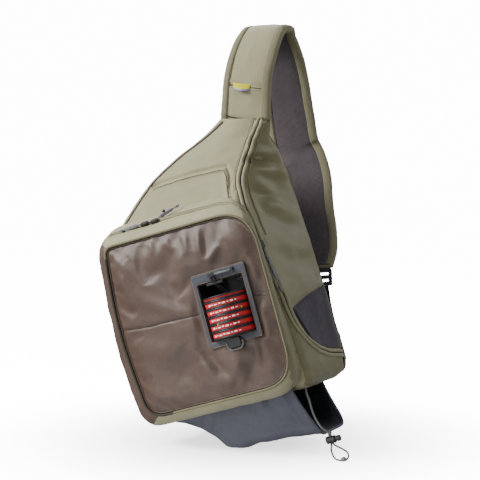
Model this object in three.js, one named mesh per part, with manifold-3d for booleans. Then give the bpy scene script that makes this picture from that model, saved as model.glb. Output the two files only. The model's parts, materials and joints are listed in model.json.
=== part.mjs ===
// A one-shoulder sling bag for fishing tackle, standing on its base, in millimetres.
// x runs to the bag's right as seen from the front, y from its front to its back, z up.
// The pieces are placed in the bag's own frame, which leans as a whole at the end.

import * as THREE from "three";
import { mergeVertices } from "three/addons/utils/BufferGeometryUtils.js";
import Module from "manifold-3d";

const wasm = await Module();
wasm.setup();

// General
const BAG_LEAN = THREE.MathUtils.degToRad(17);
const CLOTH = 2.4;
const GAP = 0.3;
const FAR = 400;

// Main body: a padded shell that narrows to the strap
const BODY_LEFT = -122;
const BODY_WIDTH = 260;
const BODY_HEIGHT = 412;
const BODY_DEPTH = 138;
const BODY_FRONT_RADIUS = 16;
const BODY_BACK_RADIUS = 22;
const FRONT_CROWN = 4;

// Base: a tough boot that is also the sleeve for a bottle
const BASE_HEIGHT = 62;
const BASE_RIM = 22;
const SLEEVE_BULGE = 6;
const MOUTH_FROM_RIGHT = 11;
const MOUTH_REACH = BODY_LEFT + BODY_WIDTH - MOUTH_FROM_RIGHT;
const MOUTH_SLANT = THREE.MathUtils.degToRad(19);
const BINDING = 4;

// Front pocket
const POCKET_LEFT = -105;
const POCKET_BASE = 76;
const POCKET_WIDTH = 243;
const POCKET_HEIGHT = 254;
const POCKET_DEPTH = 52;
const POCKET_TOP_FALL = 7;
const FLARE_LEFT = 28;
const FLARE_TOP = 31;
const FLARE_BOTTOM = 14;
const TAPER_RIGHT = 10;
const TAPER_NECK = 18;
const FACE_CROWN = 5;
const PIPING = 4;
const PIPING_ROOM = 1.3;

// Back panel
const PAD_THICKNESS = 13;

// Shoulder strap, measured upright from the middle of its seam on the body
const STRAP_WIDTH = 80;
const STRAP_THICKNESS = 13;
const STRAP_RISE = 132;
const STRAP_REACH = 143;
const STRAP_DROP = 222;
const STRAP_SWAY = 80;
const STRAP_BINDING = 4.6;
const STRAP_STEPS = 22;

// Webbing below the strap
const WEBBING_WIDTH = 25;
const WEBBING_THICKNESS = 1.8;
const BUCKLE_WIDTH = 36;
const BUCKLE_HEIGHT = 26;
const BUCKLE_THICKNESS = 6;
const BUCKLE_BAR = 5;
const ANCHOR_WIDTH = 32;
const ANCHOR_HEIGHT = 44;
const ANCHOR_THICKNESS = 3;

// Zips
const ZIP_WIDTH = 9;
const ZIP_PROUD = 0.9;
const MAIN_ZIP_STEPS = 17;
const SLIDER_ROOM = 8.2;
const SLIDER_LENGTH = 12;
const SLIDER_WIDTH = 8;
const SLIDER_THICKNESS = 4;
const PULL_WIDTH = 6;
const POCKET_ZIP_IN = 24;
const POCKET_ZIP_START = 0.3;
const POCKET_PULL_LENGTH = 36;
const MAIN_PULL_LENGTH = 66;
const MAIN_PULL_LEAN = 0.15;

// Holder for the spools of tippet line
const FRAME_FROM_RIGHT = 25;
const FRAME_WIDTH = 86;
const FRAME_LEFT = POCKET_LEFT + POCKET_WIDTH - FRAME_FROM_RIGHT - FRAME_WIDTH;
const FRAME_BASE = 149;
const FRAME_HEIGHT = 105;
const FRAME_THICKNESS = 7;
const FRAME_PROUD = 3;
const WINDOW_SIDE = 6;
const WINDOW_BOTTOM = 8;
const WINDOW_TOP = 14;
const TRAY_WALL = 1.5;
const TRAY_FLANGE = 3.5;
const SPOOL_ROOM = 0.7;
const SPOOL_BACK_ROOM = 1.1;
const SPOOL_COUNT = 6;
const SPOOL_RADIUS = FRAME_WIDTH / 2 - WINDOW_SIDE - GAP - TRAY_WALL - SPOOL_ROOM;
const SPOOL_WIDTH = 10.2;
const SPOOL_SPACE = 0.4;
const SPOOL_PITCH = SPOOL_WIDTH + SPOOL_SPACE;
const SLIM_SPOOL_WIDTH = 6;
const SPOOL_FLANGE = 1.6;
const SPOOL_BORE = 6;
const SPOOL_SINK = 1;
const SPOOL_SIDES = 12;
const BAND_INSET = 1.1;
const BAND_THICKNESS = 3.4;
const BAND_OUTER = SPOOL_RADIUS - BAND_INSET;
const BAND_INNER = BAND_OUTER - BAND_THICKNESS;
const TIPPET_CORD = 3;
const ROD_LENGTH = 26;
const KNOT_SIZE = 5;
const ANCHOR_DROP = 6;
const BAR_RADIUS = 2.4;
const BAR_LENGTH = 26;
const TOGGLE_WIDTH = 20;
const TOGGLE_THICKNESS = 5;
const TOGGLE_OVERHANG = 6;

// Sleeve cord, its lock and its loop
const CORD = 2.8;
const LOCK_LENGTH = 13;
const LOCK_RADIUS = 5.4;
const LOCK_BORE = 3.5;
const BUTTON_RADIUS = 3.2;
const BUTTON_TRAVEL = 3;
const BUTTON_HEAD = 4;
const CORD_END_LENGTH = 9;

// Fly patch and strap tab
const PATCH_THICKNESS = 2.5;
const TAB_WIDTH = 27;
const TAB_HEIGHT = 9;
const TAB_BULGE = 8;
const TAB_THICKNESS = 1.4;
const TAB_OFFSET = -5;

const COLOURS = {
  sage: { color: 0x9b977c, roughness: 0.75, metalness: 0 },
  brown: { color: 0x6a5c50, roughness: 0.45, metalness: 0 },
  slate: { color: 0x43454e, roughness: 0.65, metalness: 0 },
  charcoal: { color: 0x37333b, roughness: 0.95, metalness: 0 },
  mesh: { color: 0x4a434b, roughness: 0.9, metalness: 0 },
  taupe: { color: 0x7d776a, roughness: 0.7, metalness: 0 },
  black: { color: 0x141416, roughness: 0.5, metalness: 0 },
  grey: { color: 0x6f6f75, roughness: 0.5, metalness: 0 },
  cord: { color: 0x9a9c92, roughness: 0.8, metalness: 0 },
  red: { color: 0xc01020, roughness: 0.6, metalness: 0 },
  lime: { color: 0xb5b43a, roughness: 0.6, metalness: 0 },
};

const BASE_BOTTOM = 0;
const BODY_FLOOR = BASE_BOTTOM + BASE_HEIGHT;

// Shape helpers

const vec = (x, y, z) => new THREE.Vector3(x, y, z);

function toSolid(geometry) {
  const plain = geometry.clone();
  plain.deleteAttribute("normal");
  plain.deleteAttribute("uv");
  const merged = mergeVertices(plain, 1e-4);
  const mesh = new wasm.Mesh({
    numProp: 3,
    vertProperties: new Float32Array(merged.attributes.position.array),
    triVerts: new Uint32Array(merged.index.array),
  });
  return new wasm.Manifold(mesh);
}

function toGeometry(solid) {
  const mesh = solid.getMesh();
  const geometry = new THREE.BufferGeometry();
  geometry.setAttribute("position", new THREE.BufferAttribute(mesh.vertProperties, 3));
  geometry.setIndex(new THREE.BufferAttribute(mesh.triVerts, 1));
  geometry.computeVertexNormals();
  return geometry;
}

// Keeps the biggest body of a cut and drops the slivers that the cut left.
function biggest(solid) {
  const bodies = solid.decompose();
  return bodies.reduce((best, body) => (body.volume() > best.volume() ? body : best));
}

function centreOf(points) {
  const sum = points.reduce((total, point) => total.add(point), vec(0, 0, 0));
  return sum.divideScalar(points.length);
}

function facesOut(points, faces) {
  let volume = 0;
  for (let i = 0; i < faces.length; i += 3) {
    const [a, b, c] = [points[faces[i]], points[faces[i + 1]], points[faces[i + 2]]];
    volume += a.dot(b.clone().cross(c));
  }
  return volume > 0 ? faces : faces.slice().reverse();
}

// A closed skin over rings of points: capped at both ends, or closed on itself.
function loft(rings, closed = false) {
  const count = rings[0].length;
  const points = rings.flat();
  const faces = [];
  const spans = closed ? rings.length : rings.length - 1;
  for (let r = 0; r < spans; r++) {
    const here = r * count;
    const there = ((r + 1) % rings.length) * count;
    for (let i = 0; i < count; i++) {
      const j = (i + 1) % count;
      faces.push(here + i, here + j, there + j, here + i, there + j, there + i);
    }
  }
  if (!closed) {
    const last = (rings.length - 1) * count;
    const startCap = points.push(centreOf(rings[0])) - 1;
    const endCap = points.push(centreOf(rings[rings.length - 1])) - 1;
    for (let i = 0; i < count; i++) {
      const j = (i + 1) % count;
      faces.push(startCap, j, i, endCap, last + i, last + j);
    }
  }
  const geometry = new THREE.BufferGeometry().setFromPoints(points);
  geometry.setIndex(facesOut(points, faces));
  geometry.computeVertexNormals();
  return geometry;
}

function towards(from, to, distance) {
  const reach = Math.min(distance, 0.48 * from.distanceTo(to));
  return from.clone().add(to.clone().sub(from).setLength(reach));
}

// A loop with round corners. Each edge may be split, and may swell by its crown.
function roundedLoop({ corners, radii, cornerSteps = 3, edgeSteps, crowns = [] }) {
  const loop = [];
  const count = corners.length;
  corners.forEach((corner, k) => {
    const after = corners[(k + 1) % count];
    const start = towards(corner, corners[(k + count - 1) % count], radii[k]);
    const end = towards(corner, after, radii[k]);
    loop.push(...new THREE.QuadraticBezierCurve3(start, corner, end).getPoints(cornerSteps));
    const next = towards(after, corner, radii[(k + 1) % count]);
    for (let i = 1; i < edgeSteps[k]; i++) {
      const share = i / edgeSteps[k];
      const point = end.clone().lerp(next, share);
      if (crowns[k]) point.addScaledVector(crowns[k], Math.sin(Math.PI * share));
      loop.push(point);
    }
  });
  return loop;
}

function boxAt(low, high) {
  const size = high.clone().sub(low);
  const box = new THREE.BoxGeometry(size.x, size.y, size.z);
  const middle = low.clone().add(high).multiplyScalar(0.5);
  return box.translate(middle.x, middle.y, middle.z);
}

function roundedPlate(low, high, radius, cornerSteps = 3) {
  const ring = (y) =>
    roundedLoop({
      corners: [vec(low.x, y, low.z), vec(high.x, y, low.z), vec(high.x, y, high.z), vec(low.x, y, high.z)],
      radii: [radius, radius, radius, radius],
      cornerSteps,
      edgeSteps: [1, 1, 1, 1],
    });
  return loft([ring(low.y), ring(high.y)]);
}

// A round tube through points; each ring stands square to the path.
function tube(points, radius, { sides = 8, steps = 24, closed = false } = {}) {
  const curve = new THREE.CatmullRomCurve3(points, closed, "centripetal");
  const frames = curve.computeFrenetFrames(steps, closed);
  const rings = [];
  const last = closed ? steps - 1 : steps;
  for (let i = 0; i <= last; i++) {
    const centre = curve.getPointAt(i / steps);
    const ring = [];
    for (let k = 0; k < sides; k++) {
      const angle = (2 * Math.PI * k) / sides;
      ring.push(
        centre
          .clone()
          .addScaledVector(frames.normals[i], radius * Math.cos(angle))
          .addScaledVector(frames.binormals[i], radius * Math.sin(angle)),
      );
    }
    rings.push(ring);
  }
  return loft(rings, closed);
}

// A flat ribbon along points. Its width runs across each one.
function ribbon(points, acrossAt, width, thickness) {
  const rings = points.map((point, i) => {
    const before = points[Math.max(i - 1, 0)];
    const after = points[Math.min(i + 1, points.length - 1)];
    const along = after.clone().sub(before).normalize();
    const across = acrossAt(i);
    const side = across.clone().addScaledVector(along, -across.dot(along)).normalize();
    const normal = along.clone().cross(side);
    return [[-1, -1], [1, -1], [1, 1], [-1, 1]].map(([s, t]) =>
      point
        .clone()
        .addScaledVector(side, (s * width) / 2)
        .addScaledVector(normal, (t * thickness) / 2),
    );
  });
  return loft(rings);
}

const spinAxisUp = (profile, sides) =>
  new THREE.LatheGeometry(profile.map(([r, h]) => new THREE.Vector2(r, h)), sides).rotateX(Math.PI / 2);

function piece(name, shape, colour) {
  const geometry = shape.isBufferGeometry ? shape : toGeometry(shape);
  const mesh = new THREE.Mesh(geometry, new THREE.MeshStandardMaterial(COLOURS[colour]));
  mesh.name = name;
  return mesh;
}

// Main body. left, right and rear are shares of BODY_WIDTH, from the left edge.
// leftRise and rightRise are shares of BODY_HEIGHT, from the underside.
// leftIn, rightIn and back are shares of BODY_DEPTH, from the front panel.
const BODY_ROWS = [
  {
    left: 0.085, leftRise: 0, right: 0.923, rightRise: 0, rear: 0.923,
    leftIn: 0.07, rightIn: 0.07, back: 0.93,
  },
  {
    left: 0.02, leftRise: 0.015, right: 0.96, rightRise: 0.015, rear: 0.97,
    leftIn: 0.015, rightIn: 0.02, back: 0.985,
  },
  {
    left: 0, leftRise: 0.053, right: 0.975, rightRise: 0.053, rear: 0.99,
    leftIn: 0, rightIn: 0.02, back: 1,
  },
  {
    left: -0.008, leftRise: 0.214, right: 0.958, rightRise: 0.214, rear: 0.996,
    leftIn: 0, rightIn: 0.03, back: 1,
  },
  {
    left: -0.008, leftRise: 0.36, right: 0.954, rightRise: 0.36, rear: 0.998,
    leftIn: 0, rightIn: 0.03, back: 1.01,
  },
  {
    left: -0.004, leftRise: 0.505, right: 0.915, rightRise: 0.505, rear: 0.992,
    leftIn: 0, rightIn: 0.03, back: 1,
  },
  {
    left: 0.004, leftRise: 0.621, right: 0.869, rightRise: 0.621, rear: 0.985,
    leftIn: 0.015, rightIn: 0.045, back: 1,
  },
  {
    left: 0.02, leftRise: 0.694, right: 0.842, rightRise: 0.68, rear: 0.985,
    leftIn: 0.05, rightIn: 0.09, back: 0.985,
  },
  {
    left: 0.072, leftRise: 0.745, right: 0.835, rightRise: 0.723, rear: 0.987,
    leftIn: 0.11, rightIn: 0.17, back: 0.965,
  },
  {
    left: 0.175, leftRise: 0.81, right: 0.846, rightRise: 0.777, rear: 0.99,
    leftIn: 0.2, rightIn: 0.26, back: 0.92,
  },
  {
    left: 0.338, leftRise: 0.888, right: 0.881, rightRise: 0.84, rear: 1,
    leftIn: 0.33, rightIn: 0.37, back: 0.83,
  },
  {
    left: 0.554, leftRise: 0.947, right: 0.946, rightRise: 0.896, rear: 1.01,
    leftIn: 0.43, rightIn: 0.45, back: 0.71,
  },
  {
    left: 0.738, leftRise: 1, right: 1.035, rightRise: 0.942, rear: 1.035,
    leftIn: 0.49, rightIn: 0.51, back: 0.6,
  },
];
const BODY_TOP = BODY_ROWS.length - 1;
const BODY_CORNER_STEPS = 3;
const BODY_EDGE_STEPS = [4, 3, 3, 2];

const bodyX = (share) => BODY_LEFT + share * BODY_WIDTH;
const bodyY = (share) => POCKET_DEPTH + share * BODY_DEPTH;
const bodyZ = (share) => BODY_FLOOR + share * BODY_HEIGHT;

// The direction square to the body's outline, at one end of a row.
function outlineNormal(index, side) {
  const at = (row) =>
    side < 0 ? vec(bodyX(row.left), 0, bodyZ(row.leftRise)) : vec(bodyX(row.right), 0, bodyZ(row.rightRise));
  const before = at(BODY_ROWS[Math.max(index - 1, 0)]);
  const after = at(BODY_ROWS[Math.min(index + 1, BODY_TOP)]);
  const along = after.sub(before).normalize();
  const normal = vec(side * along.z, 0, -side * along.x);
  if (index === 0) normal.z -= 1;
  if (index === BODY_TOP) normal.z += 1;
  return normal;
}

function bodySection(index, grow) {
  const row = BODY_ROWS[index];
  const leftOut = outlineNormal(index, -1).multiplyScalar(grow);
  const rightOut = outlineNormal(index, 1).multiplyScalar(grow);
  const corner = (x, z, y, out, depthOut) => vec(x + out.x, y + depthOut * grow, z + out.z);
  const corners = [
    corner(bodyX(row.left), bodyZ(row.leftRise), bodyY(row.leftIn), leftOut, -1),
    corner(bodyX(row.right), bodyZ(row.rightRise), bodyY(row.rightIn), rightOut, -1),
    corner(bodyX(row.rear), bodyZ(row.rightRise), bodyY(row.back), rightOut, 1),
    corner(bodyX(row.left), bodyZ(row.leftRise), bodyY(row.back), leftOut, 1),
  ];
  const front = BODY_FRONT_RADIUS + grow;
  const back = BODY_BACK_RADIUS + grow;
  return roundedLoop({
    corners,
    radii: [front, front, back, back],
    cornerSteps: BODY_CORNER_STEPS,
    edgeSteps: BODY_EDGE_STEPS,
    crowns: [vec(0, -FRONT_CROWN * (index / BODY_TOP), 0)],
  });
}

function bodySolid(grow) {
  return toSolid(loft(BODY_ROWS.map((row, index) => bodySection(index, grow))));
}

// A point on the body's skin: a row, and a place along that row's loop.
function bodyPoint(row, place) {
  const low = Math.floor(row);
  const high = Math.min(low + 1, BODY_TOP);
  const at = (index) => {
    const loop = bodySection(index, 0);
    const before = Math.floor(place) % loop.length;
    const after = (before + 1) % loop.length;
    return loop[before].clone().lerp(loop[after], place - Math.floor(place));
  };
  return at(low).lerp(at(high), row - low);
}

// The main zip follows the front right corner, then turns along the side to the back.
// row counts rows from the underside, place counts points along the row's loop.
const FRONT_RIGHT_CORNER = BODY_CORNER_STEPS + BODY_EDGE_STEPS[0];
const MAIN_ZIP_ROUTE = [
  { row: 11.6, place: 1.5 },
  { row: 11, place: 1.5 },
  { row: 10, place: 1.5 },
  { row: 9, place: 1.5 },
  { row: 8, place: 1.5 },
  { row: 7, place: 1.5 },
  { row: 6, place: 1.5 },
  { row: 5, place: 1.5 },
  { row: 4, place: 1.8 },
  { row: 3.4, place: 2.4 },
  { row: 2.95, place: 3.2 },
  { row: 2.6, place: 3.9 },
  { row: 2.4, place: 4.7 },
  { row: 2.3, place: 5.6 },
];

const ZIP_TUBE = { sides: 5, steps: MAIN_ZIP_STEPS };
const mainZipPath = () => MAIN_ZIP_ROUTE.map(({ row, place }) => bodyPoint(row, FRONT_RIGHT_CORNER + place));

function mainShell() {
  const slot = toSolid(tube(mainZipPath(), ZIP_WIDTH / 2 + GAP, ZIP_TUBE));
  return biggest(bodySolid(0).subtract(bodySolid(-CLOTH)).subtract(slot));
}

function mainZip() {
  const strip = toSolid(tube(mainZipPath(), ZIP_WIDTH / 2, ZIP_TUBE));
  return biggest(bodySolid(ZIP_PROUD).subtract(bodySolid(-CLOTH)).intersect(strip));
}

// The fly patch lies on the right side. in is a share of BODY_DEPTH, rise of BODY_HEIGHT.
const PATCH_CORNERS = [
  { in: 0.16, rise: 0.268 },
  { in: 0.93, rise: 0.332 },
  { in: 0.97, rise: 0.1 },
  { in: 0.5, rise: 0.135 },
  { in: 0.36, rise: 0.165 },
  { in: 0.22, rise: 0.22 },
];

function flyPatch() {
  const ring = (x) => PATCH_CORNERS.map((corner) => vec(x, bodyY(corner.in), bodyZ(corner.rise)));
  const prism = toSolid(loft([ring(bodyX(0.8)), ring(bodyX(1.2))]));
  const skin = bodySolid(GAP + PATCH_THICKNESS).subtract(bodySolid(GAP));
  return biggest(skin.intersect(prism));
}

// Base. at is a share of BODY_WIDTH from the body's left edge. front and back are
// shares of BODY_DEPTH, frontDrop and backDrop shares of BASE_HEIGHT above its bottom.
const BASE_ROWS = [
  { at: 0.02, front: 0.14, back: 0.95, frontDrop: 1.05, backDrop: 0.86 },
  { at: 0.06, front: 0.06, back: 0.98, frontDrop: 1, backDrop: 0.56 },
  { at: 0.1, front: 0.02, back: 0.99, frontDrop: 0.96, backDrop: 0.42 },
  { at: 0.17, front: 0, back: 1, frontDrop: 0.87, backDrop: 0.34 },
  { at: 0.25, front: 0, back: 1, frontDrop: 0.64, backDrop: 0.24 },
  { at: 0.325, front: 0, back: 1, frontDrop: 0.37, backDrop: 0.16 },
  { at: 0.38, front: 0, back: 1, frontDrop: 0.1, backDrop: 0.08 },
  { at: 0.44, front: 0, back: 1, frontDrop: -0.02, backDrop: 0.02 },
  { at: 0.57, front: 0, back: 0.99, frontDrop: 0.02, backDrop: 0.02 },
  { at: 0.7, front: 0, back: 0.93, frontDrop: 0, backDrop: 0 },
  { at: 0.82, front: 0, back: 0.8, frontDrop: -0.04, backDrop: -0.02 },
  { at: 0.92, front: 0, back: 0.67, frontDrop: -0.08, backDrop: -0.06 },
  { at: 1.06, front: 0, back: 0.62, frontDrop: -0.18, backDrop: -0.15 },
];

function baseSection(row, grow, ends) {
  const x = bodyX(row.at) + ends * grow;
  const low = (drop) => BASE_BOTTOM + drop * BASE_HEIGHT - grow;
  const top = BODY_FLOOR + BASE_RIM;
  const front = bodyY(row.front) - CLOTH - GAP - grow;
  const back = bodyY(row.back) + grow;
  return roundedLoop({
    corners: [
      vec(x, front, low(row.frontDrop)),
      vec(x, back, low(row.backDrop)),
      vec(x, back, top),
      vec(x, front, top),
    ],
    radii: [16 + grow, 20 + grow, 4, 4],
    edgeSteps: [2, 1, 2, 4],
    crowns: [null, null, null, vec(0, -SLEEVE_BULGE * row.at, 0)],
  });
}

// The bag leans, so the floor is a slanting plane in the bag's frame.
function floorBlock(height) {
  const reach = 600;
  const block = new THREE.BoxGeometry(reach * 2, reach * 2, reach);
  block.translate(0, 0, height - reach / 2);
  return toSolid(block.rotateY(BAG_LEAN));
}

// Everything beyond the sleeve's slanting mouth.
function mouthBlock() {
  const reach = 400;
  const block = new THREE.BoxGeometry(reach, reach * 2, reach * 2);
  block.translate(reach / 2, 0, 0);
  block.rotateY(-MOUTH_SLANT);
  return toSolid(block.translate(MOUTH_REACH, 0, BASE_BOTTOM));
}

function baseSolid(grow, ends = 0) {
  const rows = BASE_ROWS.map((row, index) => {
    const side = index === 0 ? -1 : index === BASE_ROWS.length - 1 ? 1 : 0;
    return baseSection(row, grow, side * ends);
  });
  return toSolid(loft(rows));
}

function baseBoot() {
  const outer = baseSolid(0).subtract(floorBlock(0));
  const inner = baseSolid(-CLOTH, 1).subtract(floorBlock(CLOTH));
  const above = boxAt(vec(-FAR, -FAR, BODY_FLOOR + BASE_RIM - CLOTH), vec(FAR, FAR, FAR));
  const hollow = inner.subtract(toSolid(above));
  return biggest(outer.subtract(hollow).subtract(bodySolid(GAP)).subtract(mouthBlock()));
}

// Pocket. depth is a share of POCKET_DEPTH, flare of FLARE_LEFT and FLARE_BOTTOM,
// rise of FLARE_TOP, and taper of TAPER_RIGHT and TAPER_NECK.
const GUSSET_ROWS = [
  { depth: 0.006, flare: 0, rise: 0, taper: 0 },
  { depth: 0.12, flare: 0.4, rise: 0.2, taper: -0.2 },
  { depth: 0.34, flare: 0.86, rise: 0.46, taper: 0 },
  { depth: 0.62, flare: 1.04, rise: 0.74, taper: 0.5 },
  { depth: 1, flare: 1, rise: 1, taper: 1 },
  { depth: 1.4, flare: 0.85, rise: 0.96, taper: 2 },
];
const POCKET_CORNER_STEPS = 3;

function pocketLoop(y, { flare = 0, rise = 0, taper = 0, grow = 0 } = {}) {
  const left = POCKET_LEFT - FLARE_LEFT * flare - grow;
  const right = POCKET_LEFT + POCKET_WIDTH - TAPER_RIGHT * taper + grow;
  const bottom = POCKET_BASE - FLARE_BOTTOM * flare - grow;
  const top = POCKET_BASE + POCKET_HEIGHT + FLARE_TOP * rise + grow;
  return roundedLoop({
    corners: [
      vec(left, y, bottom),
      vec(right, y, bottom),
      vec(right - TAPER_NECK * rise, y, top - POCKET_TOP_FALL),
      vec(left, y, top),
    ],
    radii: [34 + grow, 48 + grow, 54 + grow, 16 + 22 * flare + grow],
    cornerSteps: POCKET_CORNER_STEPS,
    edgeSteps: [2, 2, 3, 4],
    crowns: [null, null, null, vec(-8, 0, 0)],
  });
}

const gussetRings = (grow) =>
  GUSSET_ROWS.map((row) => pocketLoop(row.depth * POCKET_DEPTH, { ...row, grow }));

function gussetCore() {
  const inner = gussetRings(-CLOTH);
  inner.unshift(inner[0].map((point) => vec(point.x, -CLOTH, point.z)));
  inner.push(inner[inner.length - 1].map((point) => vec(point.x, point.y + CLOTH, point.z)));
  return toSolid(loft(inner));
}

// The pocket's zip runs up its left side, over its top and down its right side.
function pocketZipSlab(extra) {
  const half = ZIP_WIDTH / 2 + extra;
  const foot = POCKET_BASE + POCKET_ZIP_START * POCKET_HEIGHT - extra;
  return toSolid(boxAt(vec(-400, POCKET_ZIP_IN - half, foot), vec(400, POCKET_ZIP_IN + half, 600)));
}

function pocketZip() {
  const skin = toSolid(loft(gussetRings(ZIP_PROUD))).subtract(gussetCore());
  return biggest(skin.intersect(pocketZipSlab(0)));
}

function pocketGusset() {
  const wall = toSolid(loft(gussetRings(0))).subtract(gussetCore()).subtract(pocketZipSlab(GAP));
  const zip = toSolid(tube(mainZipPath(), SLIDER_ROOM, ZIP_TUBE));
  return biggest(wall.subtract(bodySolid(GAP)).subtract(baseSolid(GAP)).subtract(zip));
}

// The face swells towards its middle. share scales its outline, rise its crown.
const FACE_RINGS = [
  { share: 0.05, rise: 1 },
  { share: 0.6, rise: 0.85 },
  { share: 0.92, rise: 0.4 },
  { share: 0.99, rise: 0 },
];

function pocketFace() {
  const outline = pocketLoop(0, { grow: -PIPING / 2 - PIPING_ROOM });
  const middle = centreOf(outline);
  const ring = (share, y) =>
    outline.map((point) => {
      const moved = middle.clone().lerp(point, share);
      return vec(moved.x, y, moved.z);
    });
  const front = FACE_RINGS.map(({ share, rise }) => ring(share, -CLOTH - FACE_CROWN * rise));
  const back = FACE_RINGS.map(({ share, rise }) => ring(share, -GAP - FACE_CROWN * rise)).reverse();
  const hole = roundedPlate(
    vec(FRAME_LEFT - GAP, -20, FRAME_BASE - GAP),
    vec(FRAME_LEFT + FRAME_WIDTH + GAP, 20, FRAME_BASE + FRAME_HEIGHT + GAP),
    4 + GAP,
  );
  return biggest(toSolid(loft([...front, ...back])).subtract(toSolid(hole)));
}

function pocketPiping() {
  return tube(pocketLoop(-PIPING / 2 - GAP, { grow: 0 }), PIPING / 2, { sides: 4, steps: 42, closed: true });
}

// Back panel: a padded slab that follows the body's back.
const PAD_ROWS = [
  { row: 1, left: 12, right: 6, pad: 0.7 },
  { row: 2, left: 8, right: 4, pad: 1 },
  { row: 3, left: 6, right: 6, pad: 1 },
  { row: 5, left: 6, right: 10, pad: 1 },
  { row: 7, left: 8, right: 10, pad: 1 },
  { row: 8, left: 8, right: 10, pad: 1 },
  { row: 9, left: 10, right: 11, pad: 1 },
  { row: 10, left: 12, right: 12, pad: 0.9 },
  { row: 11, left: 14, right: 14, pad: 0.7 },
];

function backPanel() {
  const rings = PAD_ROWS.map(({ row, left, right, pad }) => {
    const { left: edge, rear, leftRise, rightRise, back } = BODY_ROWS[row];
    const front = bodyY(back) + GAP;
    const rearFace = front + PAD_THICKNESS * pad;
    const ends = [
      vec(bodyX(edge) + left, 0, bodyZ(leftRise)),
      vec(bodyX(rear) - right, 0, bodyZ(rightRise)),
    ];
    const at = (end, y) => vec(ends[end].x, y, ends[end].z);
    return roundedLoop({
      corners: [at(0, front), at(1, front), at(1, rearFace), at(0, rearFace)],
      radii: [2, 2, 6, 6],
      cornerSteps: 2,
      edgeSteps: [1, 1, 3, 1],
    });
  });
  return toSolid(loft(rings)).subtract(bodySolid(GAP)).subtract(baseSolid(GAP));
}

// The bag's frame leans, and the strap and loose cord stand upright.
const upright = (point) => point.clone().applyAxisAngle(vec(0, 1, 0), -BAG_LEAN);
const leaning = (point) => point.clone().applyAxisAngle(vec(0, 1, 0), BAG_LEAN);

// Strap. side is a share of STRAP_SWAY, depth of STRAP_REACH, width of STRAP_WIDTH.
// rise is a share of STRAP_RISE above the seam, and of STRAP_DROP below it.
const STRAP_ROWS = [
  { side: 0, depth: 0, rise: 0, width: 1.01, turn: 0 },
  { side: 0.11, depth: -0.05, rise: 0.5, width: 0.95, turn: 0 },
  { side: 0.26, depth: 0, rise: 0.85, width: 0.92, turn: 0 },
  { side: 0.28, depth: 0.11, rise: 0.97, width: 0.9, turn: 0 },
  { side: 0.24, depth: 0.31, rise: 1, width: 0.9, turn: 0 },
  { side: 0.12, depth: 0.5, rise: 0.95, width: 0.9, turn: 2 },
  { side: 0.09, depth: 0.64, rise: 0.85, width: 0.9, turn: 4 },
  { side: 0.08, depth: 0.82, rise: 0.58, width: 0.93, turn: 6 },
  { side: 0.1, depth: 0.97, rise: 0.02, width: 0.99, turn: 8 },
  { side: 0.19, depth: 1, rise: -0.2, width: 0.98, turn: 10 },
  { side: 0.36, depth: 0.98, rise: -0.3, width: 0.95, turn: 12 },
  { side: 0.5, depth: 0.94, rise: -0.42, width: 0.93, turn: 12 },
  { side: 0.62, depth: 0.86, rise: -0.62, width: 0.92, turn: 12 },
  { side: 0.78, depth: 0.79, rise: -0.78, width: 0.86, turn: 12 },
  { side: 0.92, depth: 0.72, rise: -0.9, width: 0.72, turn: 12 },
  { side: 0.98, depth: 0.66, rise: -1, width: 0.54, turn: 12 },
];

const strapSeam = () => {
  const { left, leftRise, right, rightRise, leftIn, back } = BODY_ROWS[BODY_TOP];
  const depth = bodyY((leftIn + back) / 2);
  const middle = vec((bodyX(left) + bodyX(right)) / 2, depth, (bodyZ(leftRise) + bodyZ(rightRise)) / 2);
  return upright(middle).add(vec(0, 0, GAP));
};

// A place on the strap: along from its seam, 0 to 1, with its width and directions there.
function strapFrame(along) {
  const seam = strapSeam();
  const points = STRAP_ROWS.map(({ side, depth, rise }) => {
    const height = rise * (rise > 0 ? STRAP_RISE : STRAP_DROP);
    return seam.clone().add(vec(side * STRAP_SWAY, depth * STRAP_REACH, height));
  });
  const curve = new THREE.CatmullRomCurve3(points);
  const place = along * (STRAP_ROWS.length - 1);
  const low = Math.min(Math.floor(place), STRAP_ROWS.length - 2);
  const share = (key) => THREE.MathUtils.lerp(STRAP_ROWS[low][key], STRAP_ROWS[low + 1][key], place - low);
  const turn = THREE.MathUtils.degToRad(share("turn"));
  const tangent = along === 0 ? vec(0, 0, 1) : curve.getTangent(along);
  const sideways = vec(Math.cos(turn), Math.sin(turn), 0);
  const across = sideways.addScaledVector(tangent, -sideways.dot(tangent)).normalize();
  return {
    centre: curve.getPoint(along),
    half: (share("width") * STRAP_WIDTH) / 2,
    tangent,
    across,
    outward: across.clone().cross(tangent),
  };
}

// Sections of the strap's two layers: t across, h through, as shares of the half sizes.
const STRAP_OUTER_SECTION = [[-1, -0.2], [-1, 0.6], [-0.6, 0.92], [0, 1], [0.6, 0.92], [1, 0.6], [1, -0.2]];
const STRAP_MESH_SECTION = [
  [1, -0.3],
  [-1, -0.3],
  [-1, -0.7],
  [-0.6, -0.92],
  [0, -1],
  [0.6, -0.92],
  [1, -0.7],
];
const strapEndShare = () => 1 - GAP / STRAP_DROP;

function strapLayer(section) {
  const rings = [];
  for (let i = 0; i <= STRAP_STEPS; i++) {
    const { centre, half, across, outward } = strapFrame((i / STRAP_STEPS) * strapEndShare());
    const reach = half - STRAP_BINDING - GAP;
    rings.push(
      section.map(([t, h]) =>
        centre
          .clone()
          .addScaledVector(across, t * reach)
          .addScaledVector(outward, (h * STRAP_THICKNESS) / 2),
      ),
    );
  }
  return loft(rings);
}

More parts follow.
